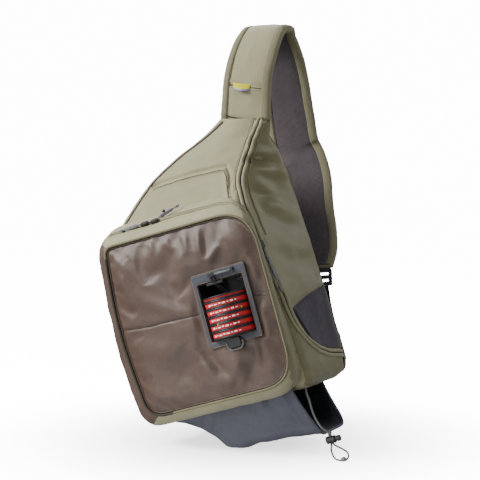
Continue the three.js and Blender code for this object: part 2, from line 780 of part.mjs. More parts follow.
// The binding runs down one edge of the strap, round its end and up the other edge.
function strapBinding() {
  const stations = [];
  for (let i = 0; i <= STRAP_STEPS; i++) stations.push({ along: i / STRAP_STEPS, edge: -1, turn: 0 });
  stations.push({ along: 1, edge: -1, turn: 0.5 });
  stations.push({ along: 1, edge: 0, turn: 1 });
  stations.push({ along: 1, edge: 1, turn: 0.5 });
  for (let i = STRAP_STEPS; i >= 0; i--) stations.push({ along: i / STRAP_STEPS, edge: 1, turn: 0 });
  const rings = stations.map(({ along, edge, turn }) => {
    const { centre, half, tangent, across, outward } = strapFrame(along);
    const inner = centre.addScaledVector(across, edge * (half - STRAP_BINDING));
    const angle = (turn * Math.PI) / 2;
    const out = across.multiplyScalar(edge * Math.cos(angle)).addScaledVector(tangent, Math.sin(angle));
    const profile = [[0, -0.9], [0, 0.9], [0.6, 1], [1, 0], [0.6, -1]];
    return profile.map(([a, h]) =>
      inner
        .clone()
        .addScaledVector(out, a * STRAP_BINDING)
        .addScaledVector(outward, (h * STRAP_THICKNESS) / 2),
    );
  });
  return loft(rings);
}

// A small loop of ribbon sewn across the strap's front.
const TAB_ALONG = 0.055;

function strapTab() {
  const { centre, across, tangent, outward } = strapFrame(TAB_ALONG);
  const base = centre.addScaledVector(outward, (STRAP_THICKNESS + TAB_THICKNESS) / 2);
  const points = [];
  const steps = 8;
  for (let i = 0; i <= steps; i++) {
    const share = i / steps;
    const lift = (TAB_BULGE - TAB_THICKNESS) * Math.sin(Math.PI * share);
    const sideways = (share - 0.5) * TAB_WIDTH + TAB_OFFSET;
    points.push(base.clone().addScaledVector(across, sideways).addScaledVector(outward, lift));
  }
  return ribbon(points, () => tangent, TAB_HEIGHT, TAB_THICKNESS);
}

// Ladder lock at the strap's lower end, webbing from it, and its anchor on the bag.
function strapBuckle() {
  const { centre, across, tangent, outward } = strapFrame(1);
  const plate = roundedPlate(
    vec(-BUCKLE_WIDTH / 2, -BUCKLE_THICKNESS / 2, -BUCKLE_HEIGHT),
    vec(BUCKLE_WIDTH / 2, BUCKLE_THICKNESS / 2, 0),
    3,
  );
  const slotHeight = (BUCKLE_HEIGHT - 3 * BUCKLE_BAR) / 2;
  const slotReach = BUCKLE_WIDTH / 2 - BUCKLE_BAR;
  const slot = (low) => toSolid(boxAt(vec(-slotReach, -20, low), vec(slotReach, 20, low + slotHeight)));
  const solid = toSolid(plate)
    .subtract(slot(-BUCKLE_BAR - slotHeight))
    .subtract(slot(-2 * BUCKLE_BAR - 2 * slotHeight));
  const place = new THREE.Matrix4().makeBasis(across, outward, tangent.clone().negate());
  place.setPosition(centre.addScaledVector(tangent, STRAP_BINDING + GAP));
  return toGeometry(solid).applyMatrix4(place);
}

// Webbing hangs from the buckle to its anchor. drop is a share of the way down,
// side and lift are shares of the sideways way and of the way back to the anchor.
const WEBBING_ROUTE = [
  { drop: 0, side: 0, lift: 0 },
  { drop: 0.3, side: 0.22, lift: 0.3 },
  { drop: 0.65, side: 0.6, lift: 0.75 },
  { drop: 1, side: 1, lift: 1 },
];
const ANCHOR_IN = 0.9;
const ANCHOR_RISE = 0.1;

// The middle of the anchor's back face, where the webbing is sewn on.
function anchorPlace() {
  const row = BODY_ROWS[2];
  return vec(bodyX(ANCHOR_IN), bodyY(row.back) + 2 * GAP + PAD_THICKNESS, bodyZ(ANCHOR_RISE));
}

function tailWebbing() {
  const { centre, tangent, across } = strapFrame(1);
  const bagAcross = upright(vec(1, 0, 0));
  const start = centre.addScaledVector(tangent, STRAP_BINDING + 5 * GAP + BUCKLE_HEIGHT);
  const lift = ANCHOR_THICKNESS + GAP + WEBBING_THICKNESS / 2;
  const end = upright(anchorPlace().add(vec(0, lift, 0)));
  const points = WEBBING_ROUTE.map(({ drop, side, lift: back }) =>
    vec(
      THREE.MathUtils.lerp(start.x, end.x, side),
      THREE.MathUtils.lerp(start.y, end.y, back),
      THREE.MathUtils.lerp(start.z, end.z, drop),
    ),
  );
  const acrossAt = (i) => across.clone().lerp(bagAcross, WEBBING_ROUTE[i].lift);
  return ribbon(points, acrossAt, WEBBING_WIDTH, WEBBING_THICKNESS);
}

function tailAnchor() {
  const place = anchorPlace();
  const low = place.clone().add(vec(-ANCHOR_WIDTH / 2, 0, -ANCHOR_HEIGHT / 2));
  const high = place.clone().add(vec(ANCHOR_WIDTH / 2, ANCHOR_THICKNESS, ANCHOR_HEIGHT / 2));
  return roundedPlate(low, high, 4);
}

// Zip sliders and their pulls. A pull hangs along its own -z from a thin neck.
const PULL_PROFILE = [
  { at: 0, girth: 0.3 },
  { at: 0.1, girth: 0.45 },
  { at: 0.18, girth: 1 },
  { at: 0.66, girth: 0.9 },
  { at: 0.72, girth: 0.4 },
  { at: 0.84, girth: 0.4 },
  { at: 0.88, girth: 1 },
  { at: 1, girth: 0.5 },
];

function pullShape(length) {
  const sides = 5;
  const rings = PULL_PROFILE.map(({ at, girth }) => {
    const ring = [];
    for (let k = 0; k < sides; k++) {
      const angle = (2 * Math.PI * k) / sides;
      const radius = (girth * PULL_WIDTH) / 2;
      ring.push(vec(radius * Math.cos(angle), radius * Math.sin(angle), -at * length));
    }
    return ring;
  });
  return loft(rings);
}

const sliderShape = () =>
  roundedPlate(
    vec(-SLIDER_LENGTH / 2, -SLIDER_THICKNESS / 2, -SLIDER_WIDTH / 2),
    vec(SLIDER_LENGTH / 2, SLIDER_THICKNESS / 2, SLIDER_WIDTH / 2),
    2.5,
    2,
  ).rotateX(Math.PI / 2);

// Height of the pocket's top skin over the middle of its zip, at a place across it.
function pocketTop(x) {
  const rows = GUSSET_ROWS;
  const depth = POCKET_ZIP_IN / POCKET_DEPTH;
  const after = rows.findIndex((row) => row.depth > depth);
  const share = (depth - rows[after - 1].depth) / (rows[after].depth - rows[after - 1].depth);
  const rise = THREE.MathUtils.lerp(rows[after - 1].rise, rows[after].rise, share);
  const slope = ((rows[after].rise - rows[after - 1].rise) * FLARE_TOP) /
    ((rows[after].depth - rows[after - 1].depth) * POCKET_DEPTH);
  const fall = (POCKET_TOP_FALL * (x - POCKET_LEFT)) / POCKET_WIDTH;
  return { z: POCKET_BASE + POCKET_HEIGHT + FLARE_TOP * rise - fall, tilt: Math.atan(slope) };
}

// A slider on the pocket's top with its pull lying beside it.
function pocketSlider(name, x, turn) {
  const { z, tilt } = pocketTop(x);
  const group = new THREE.Group();
  group.position.set(x, POCKET_ZIP_IN, z);
  group.rotation.x = tilt;
  const slider = piece(`${name}_slider`, sliderShape(), "black");
  slider.position.z = ZIP_PROUD + SLIDER_THICKNESS / 2;
  const pull = piece(`${name}_pull`, pullShape(POCKET_PULL_LENGTH).rotateY(Math.PI / 2), "grey");
  pull.position.z = ZIP_PROUD + 2 * GAP + PULL_WIDTH / 2;
  pull.rotation.z = turn;
  pull.position.x = -Math.cos(turn) * (SLIDER_LENGTH / 2 + 2 * GAP);
  pull.position.y = -Math.sin(turn) * (SLIDER_LENGTH / 2 + 2 * GAP);
  group.add(slider, pull);
  return group;
}

// The main slider sits on the front right corner and its pull hangs in the groove there.
const MAIN_SLIDER_ROW = 5.05;

function mainSlider() {
  const spot = bodyPoint(MAIN_SLIDER_ROW, FRONT_RIGHT_CORNER + 1.5);
  const above = bodyPoint(MAIN_SLIDER_ROW + 0.2, FRONT_RIGHT_CORNER + 1.5);
  const outward = vec(1, -1, 0).normalize();
  const along = above.sub(spot).normalize();
  const across = outward.clone().cross(along).normalize();
  const stand = ZIP_PROUD + 2 * GAP + SLIDER_THICKNESS / 2;
  const place = new THREE.Matrix4().makeBasis(along, across, along.clone().cross(across));
  place.setPosition(spot.clone().addScaledVector(along.clone().cross(across), stand));
  const slider = piece("main_slider", sliderShape(), "black");
  slider.applyMatrix4(place);
  const pull = piece("main_pull", pullShape(MAIN_PULL_LENGTH), "grey");
  const top = spot
    .clone()
    .addScaledVector(outward, stand + 4 * GAP)
    .addScaledVector(along, -SLIDER_LENGTH / 2 - 2 * GAP);
  pull.position.copy(top);
  pull.rotation.y = -Math.atan(MAIN_PULL_LEAN);
  const group = new THREE.Group();
  group.add(slider, pull);
  return group;
}

// Holder for spools: a frame in the face, a tray behind its window, and what hangs in it.
const FRAME_RIGHT = FRAME_LEFT + FRAME_WIDTH;
const FRAME_TOP = FRAME_BASE + FRAME_HEIGHT;
const FRAME_FRONT = -CLOTH - FACE_CROWN - FRAME_PROUD;
const SPOOL_X = FRAME_LEFT + FRAME_WIDTH / 2;
const SPOOL_Y = SPOOL_SINK;
const STACK_BASE = FRAME_BASE + WINDOW_BOTTOM + GAP + TRAY_WALL + GAP;

function windowSpan(inset) {
  return {
    low: vec(FRAME_LEFT + WINDOW_SIDE + inset, 0, FRAME_BASE + WINDOW_BOTTOM + inset),
    high: vec(FRAME_RIGHT - WINDOW_SIDE - inset, 0, FRAME_TOP - WINDOW_TOP - inset),
  };
}

function slab(span, front, back) {
  return toSolid(boxAt(vec(span.low.x, front, span.low.z), vec(span.high.x, back, span.high.z)));
}

function tippetFrame() {
  const back = FRAME_FRONT + FRAME_THICKNESS;
  const plate = roundedPlate(vec(FRAME_LEFT, FRAME_FRONT, FRAME_BASE), vec(FRAME_RIGHT, back, FRAME_TOP), 4);
  return toSolid(plate).subtract(slab(windowSpan(0), FRAME_FRONT - 1, back + 1));
}

function tippetTray() {
  const back = FRAME_FRONT + FRAME_THICKNESS;
  const lip = FRAME_FRONT + FRAME_PROUD / 2;
  const rear = SPOOL_Y + SPOOL_RADIUS + SPOOL_BACK_ROOM + TRAY_WALL;
  const walls = slab(windowSpan(GAP), lip, rear);
  const flange = slab(windowSpan(-TRAY_FLANGE), back + GAP, back + GAP + TRAY_WALL);
  const hollow = slab(windowSpan(GAP + TRAY_WALL), lip - 1, rear - TRAY_WALL);
  const clear = TIPPET_CORD / 2 + GAP;
  const holes = strandSolid(clear, 1).add(strandSolid(clear, -1));
  return walls.add(flange).subtract(hollow).subtract(holes);
}

// Each strand runs from the knot on the frame, through the spools, to the tray's floor.
function strandPoints(side) {
  const shift = side * (TIPPET_CORD / 2 + GAP);
  const stackTop = STACK_BASE + (SPOOL_COUNT - 1) * SPOOL_PITCH + SLIM_SPOOL_WIDTH;
  return [
    vec(SPOOL_X + shift, SPOOL_Y, STACK_BASE - TRAY_WALL - 4),
    vec(SPOOL_X + shift, SPOOL_Y, (STACK_BASE + stackTop) / 2),
    vec(SPOOL_X + shift, SPOOL_Y, stackTop - 1),
    vec(SPOOL_X + shift - 3, SPOOL_Y - 4, stackTop + 8),
    vec(SPOOL_X + shift - 7, FRAME_FRONT - 2.5, FRAME_TOP - WINDOW_TOP - 2),
    vec(SPOOL_X + shift - 9, FRAME_FRONT - 2.5, FRAME_TOP - ANCHOR_DROP - KNOT_SIZE / 2 - 2 * GAP),
  ];
}

const strandSolid = (radius, side) => toSolid(tube(strandPoints(side), radius, { sides: 5, steps: 9 }));

// Two small anchors on the frame's top hold a short rod of cord between them.
function tippetAnchors() {
  const z = FRAME_TOP - ANCHOR_DROP;
  const front = FRAME_FRONT - GAP - KNOT_SIZE;
  const knotX = SPOOL_X - 9;
  const knot = roundedPlate(
    vec(knotX - KNOT_SIZE, front, z - KNOT_SIZE / 2),
    vec(knotX + KNOT_SIZE, front + KNOT_SIZE, z + KNOT_SIZE / 2),
    2,
    2,
  );
  const rodStart = knotX + KNOT_SIZE + GAP;
  const rodRadius = TIPPET_CORD / 2;
  const rod = new THREE.CylinderGeometry(rodRadius, rodRadius, ROD_LENGTH, 8).rotateZ(Math.PI / 2);
  rod.translate(rodStart + ROD_LENGTH / 2, front + KNOT_SIZE / 2, z);
  const eyeStart = rodStart + ROD_LENGTH + GAP;
  const eye = boxAt(vec(eyeStart, front + 1, z - 2.5), vec(eyeStart + 4, front + KNOT_SIZE, z + 2.5));
  return [
    piece("tippet_knot", knot, "black"),
    piece("tippet_rod", rod, "cord"),
    piece("tippet_eye", eye, "black"),
  ];
}

function tippetBar() {
  const bar = new THREE.CylinderGeometry(BAR_RADIUS, BAR_RADIUS, BAR_LENGTH, 6).rotateZ(Math.PI / 2);
  const z = FRAME_TOP - WINDOW_TOP - 4;
  bar.translate(SPOOL_X - 7, FRAME_FRONT - 1, z);
  const clear = TIPPET_CORD / 2 + GAP;
  return biggest(toSolid(bar).subtract(strandSolid(clear, 1)).subtract(strandSolid(clear, -1)));
}

function tippetToggle() {
  const front = FRAME_FRONT - GAP - TOGGLE_THICKNESS;
  const low = vec(SPOOL_X - TOGGLE_WIDTH / 2, front, FRAME_BASE - TOGGLE_OVERHANG);
  const high = vec(SPOOL_X + TOGGLE_WIDTH / 2, front + TOGGLE_THICKNESS, FRAME_BASE + WINDOW_BOTTOM - 1);
  return roundedPlate(low, high, 4);
}

// A loop of cord round the toggle's lower edge.
function tippetLoop() {
  const y = FRAME_FRONT - GAP - TOGGLE_THICKNESS / 2;
  const clear = TIPPET_CORD / 2 + GAP;
  const half = TOGGLE_WIDTH / 2 + clear + GAP;
  const low = FRAME_BASE - TOGGLE_OVERHANG - clear - GAP;
  const points = [
    vec(SPOOL_X - half, y, FRAME_BASE + 2),
    vec(SPOOL_X - half, y, FRAME_BASE - 3),
    vec(SPOOL_X - half + 4, y, low),
    vec(SPOOL_X, y, low - 0.5),
    vec(SPOOL_X + half - 4, y, low),
    vec(SPOOL_X + half, y, FRAME_BASE - 3),
    vec(SPOOL_X + half, y, FRAME_BASE + 2),
  ];
  return tube(points, TIPPET_CORD / 2, { sides: 5, steps: 12 });
}

function spool(index) {
  const slim = index === SPOOL_COUNT - 1;
  const width = slim ? SLIM_SPOOL_WIDTH : SPOOL_WIDTH;
  const profile = [
    [SPOOL_BORE, 0],
    [SPOOL_RADIUS, 0],
    [SPOOL_RADIUS, SPOOL_FLANGE],
    [BAND_INNER - GAP, SPOOL_FLANGE],
    [BAND_INNER - GAP, width - SPOOL_FLANGE],
    [SPOOL_RADIUS, width - SPOOL_FLANGE],
    [SPOOL_RADIUS, width],
    [SPOOL_BORE, width],
    [SPOOL_BORE, 0],
  ];
  const low = SPOOL_FLANGE + GAP;
  const high = width - SPOOL_FLANGE - GAP;
  const bandProfile = [
    [BAND_INNER, low],
    [BAND_OUTER, low],
    [BAND_OUTER, high],
    [BAND_INNER, high],
    [BAND_INNER, low],
  ];
  const group = new THREE.Group();
  group.position.set(SPOOL_X, SPOOL_Y, STACK_BASE + index * SPOOL_PITCH);
  group.add(
    piece(`spool_${index + 1}`, toSolid(spinAxisUp(profile, SPOOL_SIDES)), "black"),
    piece(`band_${index + 1}`, toSolid(spinAxisUp(bandProfile, SPOOL_SIDES)), "red"),
  );
  return group;
}

// The sleeve's mouth has a rolled binding along its front, bottom and back.
function mouthPoint(place) {
  const tilt = Math.tan(MOUTH_SLANT);
  const beyond = (point) => point.x - MOUTH_REACH + (point.z - BASE_BOTTOM) * tilt;
  const loops = BASE_ROWS.map((row) => baseSection(row, 0, 0)[place]);
  const after = loops.findIndex((point) => beyond(point) > 0);
  const [a, b] = [loops[after - 1], loops[after]];
  return a.clone().lerp(b, beyond(a) / (beyond(a) - beyond(b)));
}

function mouthBinding() {
  const count = baseSection(BASE_ROWS[0], 0, 0).length;
  const off = BINDING / 2 + GAP;
  const shift = vec(Math.cos(MOUTH_SLANT) * off, 0, Math.sin(MOUTH_SLANT) * off);
  const points = [];
  for (let place = count - 2; place < count + 9; place++) points.push(mouthPoint(place % count).add(shift));
  return biggest(toSolid(tube(points, BINDING / 2, { sides: 6, steps: 14 })).subtract(bodySolid(GAP)));
}

// The cord starts under the body, follows the mouth's front and ends in the lock.
const LOCK_PLACE = vec(141, 54, -15.5);
const MOUTH_CORD_ROUTE = [
  vec(116, 70, 60.5),
  vec(121, 58, 55.4),
  vec(126, 50, 46),
  vec(129, 44, 34),
  vec(132, 41, 20),
  vec(136, 43, 6),
  vec(139.6, 48.6, -2),
  vec(142.2, 53.3, -7.6),
  vec(LOCK_PLACE.x + CORD / 2 + GAP / 2, LOCK_PLACE.y, LOCK_PLACE.z + 3),
];

const mouthCord = () => tube(MOUTH_CORD_ROUTE, CORD / 2, { sides: 5, steps: 16 });

// A short second strand comes out of the mouth's lower edge into the lock.
const MOUTH_TAIL_ROUTE = [
  vec(137.2, 68, -7.2),
  vec(138.2, 60, -4.6),
  vec(139.3, 54.8, -7),
  vec(LOCK_PLACE.x - CORD / 2 - GAP / 2, LOCK_PLACE.y, LOCK_PLACE.z + 3),
];

const mouthTail = () => tube(MOUTH_TAIL_ROUTE, CORD / 2, { sides: 6, steps: 6 });

// Cord lock: a barrel with a cross hole for the cords, and a sprung plunger in its end.
function cordHole(extraX) {
  const reach = CORD + GAP / 2 + GAP;
  const half = CORD / 2 + GAP;
  return toSolid(boxAt(vec(-reach, -half, -20), vec(reach + extraX, half, 20)));
}

const barrelShape = (radius, from, to, sides = 12) =>
  new THREE.CylinderGeometry(radius, radius, to - from, sides)
    .rotateZ(Math.PI / 2)
    .translate((from + to) / 2, 0, 0);

function cordLock() {
  const half = LOCK_LENGTH / 2;
  const barrel = toSolid(barrelShape(LOCK_RADIUS, -half, half));
  const bore = toSolid(barrelShape(LOCK_BORE, -half + CLOTH, half + 1));
  return barrel.subtract(bore).subtract(cordHole(0));
}

function cordLockButton() {
  const half = LOCK_LENGTH / 2;
  const inner = -half + CLOTH + BUTTON_TRAVEL + GAP;
  const head = half + BUTTON_TRAVEL + GAP;
  const plunger = toSolid(barrelShape(BUTTON_RADIUS, inner, head + 0.5));
  const cap = toSolid(barrelShape(LOCK_RADIUS - 1, head, head + BUTTON_HEAD));
  return biggest(plunger.add(cap).subtract(cordHole(BUTTON_TRAVEL)));
}

// The free loop of cord: down from the lock to the floor, through its end, and back.
const lockStrand = (side, down) =>
  upright(LOCK_PLACE.clone().add(vec((side * (CORD + GAP)) / 2, 0, -down)));

function cordLoop(radius = CORD / 2) {
  const points = [
    lockStrand(-1, -2),
    lockStrand(-1, LOCK_RADIUS + 1),
    vec(140.8, 51, 12.7),
    vec(144.5, 47.5, 6.5),
    vec(150, 43.5, 2.6),
    vec(156.5, 41.2, 1.7),
    vec(163, 40.6, 1.7),
    vec(168, 41.5, 3.4),
    vec(169.6, 44, 7.6),
    vec(166.4, 47.6, 12.4),
    vec(158, 50.6, 15.6),
    vec(149, 53, 18),
    lockStrand(1, LOCK_RADIUS + 1),
    lockStrand(1, -2),
  ];
  return tube(points, radius, { sides: 5, steps: 28 });
}

function cordEnd() {
  const bead = new THREE.SphereGeometry(CORD_END_LENGTH / 2, 8, 5).scale(1, 0.8, 0.8);
  bead.translate(164, 40.9, 3.9);
  return biggest(toSolid(bead).subtract(toSolid(cordLoop(CORD / 2 + GAP))));
}

const bag = new THREE.Group();
bag.rotation.y = -BAG_LEAN;
bag.add(
  piece("main_shell", mainShell(), "sage"),
  piece("main_zip", mainZip(), "black"),
  mainSlider(),
  piece("fly_patch", flyPatch(), "charcoal"),
  piece("base_boot", baseBoot(), "slate"),
  piece("mouth_binding", mouthBinding(), "slate"),
  piece("back_panel", backPanel(), "mesh"),
  piece("pocket_gusset", pocketGusset(), "sage"),
  piece("pocket_zip", pocketZip(), "black"),
  pocketSlider("pocket_left", POCKET_LEFT + 0.26 * POCKET_WIDTH, 0.05),
  pocketSlider("pocket_right", POCKET_LEFT + 0.33 * POCKET_WIDTH, Math.PI + 0.6),
  piece("pocket_face", pocketFace(), "brown"),
  piece("pocket_piping", pocketPiping(), "taupe"),
  piece("tippet_frame", tippetFrame(), "slate"),
  piece("tippet_tray", tippetTray(), "black"),
  piece("tippet_strand_1", strandSolid(TIPPET_CORD / 2, -1), "black"),
  piece("tippet_strand_2", strandSolid(TIPPET_CORD / 2, 1), "black"),
  ...tippetAnchors(),
  piece("tippet_bar", tippetBar(), "black"),
  piece("tippet_toggle", tippetToggle(), "black"),
  piece("tippet_loop", tippetLoop(), "cord"),
  piece("mouth_cord", mouthCord(), "cord"),
  piece("mouth_tail", mouthTail(), "cord"),
  piece("tail_anchor", tailAnchor(), "black"),
);
for (let index = 0; index < SPOOL_COUNT; index++) bag.add(spool(index));

const lock = new THREE.Group();
lock.position.copy(LOCK_PLACE);
lock.add(piece("cord_lock", cordLock(), "black"), piece("cord_lock_button", cordLockButton(), "black"));
bag.add(lock);

const hanging = new THREE.Group();
hanging.add(
  piece("strap_outer", strapLayer(STRAP_OUTER_SECTION), "sage"),
  piece("strap_mesh", strapLayer(STRAP_MESH_SECTION), "mesh"),
  piece("strap_binding", strapBinding(), "taupe"),
  piece("strap_tab", strapTab(), "lime"),
  piece("strap_buckle", strapBuckle(), "black"),
  piece("tail_webbing", tailWebbing(), "black"),
);

const assembly = new THREE.Group();
assembly.add(bag, hanging);

// The origin is under the middle of the bag, on the floor. The loose cord is left out
// of that box, as it can lie anywhere.
const box = new THREE.Box3().setFromObject(assembly, true);
assembly.position.set(-(box.min.x + box.max.x) / 2, -(box.min.y + box.max.y) / 2, -box.min.z);

hanging.add(piece("cord_loop", cordLoop(), "cord"), piece("cord_end", cordEnd(), "grey"));
assembly.updateMatrixWorld(true);

export default assembly;
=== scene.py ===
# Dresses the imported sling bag: cloth, seams, padding, cords and small hardware.

import json
import math

import bpy
import numpy as np
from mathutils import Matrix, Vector, noise
from mathutils.bvhtree import BVHTree

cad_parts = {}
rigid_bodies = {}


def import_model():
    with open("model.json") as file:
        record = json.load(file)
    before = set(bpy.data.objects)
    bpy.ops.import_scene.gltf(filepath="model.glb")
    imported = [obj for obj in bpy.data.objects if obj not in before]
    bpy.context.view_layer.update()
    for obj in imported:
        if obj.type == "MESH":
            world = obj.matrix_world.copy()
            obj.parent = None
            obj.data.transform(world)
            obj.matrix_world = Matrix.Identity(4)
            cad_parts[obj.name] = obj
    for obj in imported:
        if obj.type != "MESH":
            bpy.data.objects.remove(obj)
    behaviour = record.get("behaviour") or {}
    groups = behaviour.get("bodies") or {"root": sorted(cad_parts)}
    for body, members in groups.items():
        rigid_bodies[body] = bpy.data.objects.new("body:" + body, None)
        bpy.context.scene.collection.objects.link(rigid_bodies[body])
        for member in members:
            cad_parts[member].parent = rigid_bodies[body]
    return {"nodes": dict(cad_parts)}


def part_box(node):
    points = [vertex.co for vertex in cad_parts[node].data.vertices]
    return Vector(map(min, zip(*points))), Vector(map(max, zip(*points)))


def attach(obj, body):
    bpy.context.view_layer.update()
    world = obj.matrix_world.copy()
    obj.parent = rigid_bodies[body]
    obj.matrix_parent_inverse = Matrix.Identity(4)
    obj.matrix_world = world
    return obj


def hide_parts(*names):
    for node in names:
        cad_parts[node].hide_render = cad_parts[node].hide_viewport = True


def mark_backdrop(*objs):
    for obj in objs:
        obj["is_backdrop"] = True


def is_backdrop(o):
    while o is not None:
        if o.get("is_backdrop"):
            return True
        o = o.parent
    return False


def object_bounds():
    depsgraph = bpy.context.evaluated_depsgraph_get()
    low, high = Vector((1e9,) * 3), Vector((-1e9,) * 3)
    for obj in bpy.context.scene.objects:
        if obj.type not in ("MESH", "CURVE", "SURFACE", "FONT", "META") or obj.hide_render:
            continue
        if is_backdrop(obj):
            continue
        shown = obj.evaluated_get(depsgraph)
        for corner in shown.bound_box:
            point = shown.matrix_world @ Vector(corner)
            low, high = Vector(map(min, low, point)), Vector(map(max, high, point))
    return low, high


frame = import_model()
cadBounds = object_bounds()
scene = bpy.context.scene
mm = 0.001

# The bag leans on its base; the CAD keeps its shapes in the bag's own upright frame.
lean = math.radians(17)
leanCos, leanSin = math.cos(lean), math.sin(lean)
holderMiddle = (70.0, -6.9, 201.5)
low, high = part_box("tippet_frame")
holderWorld = (low + high) / 2
shift = Vector((
    holderWorld.x - (holderMiddle[0] * leanCos - holderMiddle[2] * leanSin) * mm,
    holderWorld.y - holderMiddle[1] * mm,
    holderWorld.z - (holderMiddle[0] * leanSin + holderMiddle[2] * leanCos) * mm,
))


def bagPoints(points):
    p = np.asarray(points, float)
    x = p[..., 0] * leanCos - p[..., 2] * leanSin
    z = p[..., 0] * leanSin + p[..., 2] * leanCos
    return np.stack([x * mm + shift.x, p[..., 1] * mm + shift.y, z * mm + shift.z], -1)


def standPoints(points):
    return np.asarray(points, float) * mm + np.array(shift)


def plain(value):
    # bounds as lists of plain numbers
    return [plain(v) for v in value] if hasattr(value, "__len__") else round(float(value), 5)


# Camera: the photograph's place and angle.
cameraSet = {"at": (930.9, -1778.8, 436.9), "to": (-29.5, 106.0, 296.4), "lens": 108.68, "sensor": 36.0}


def makeCamera(s):
    data = bpy.data.cameras.new("photoCamera")
    data.lens = s["lens"]
    data.sensor_width = s["sensor"]
    data.clip_start = 0.05
    data.clip_end = 50
    cam = bpy.data.objects.new("photoCamera", data)
    scene.collection.objects.link(cam)
    at, to = Vector(standPoints(s["at"])), Vector(standPoints(s["to"]))
    cam.location = at
    cam.rotation_mode = "QUATERNION"
    cam.rotation_quaternion = (at - to).to_track_quat("Z", "Y")
    scene.camera = cam


makeCamera(cameraSet)


# Material helpers
def rgb(r, g, b):
    def lin(c):
        c = c / 255
        return c / 12.92 if c <= 0.04045 else ((c + 0.055) / 1.055) ** 2.4
    return (lin(r), lin(g), lin(b), 1.0)


def node(tree, kind, **values):
    n = tree.nodes.new(kind)
    for key, value in values.items():
        if key in n.inputs:
            n.inputs[key].default_value = value
        else:
            setattr(n, key, value)
    return n


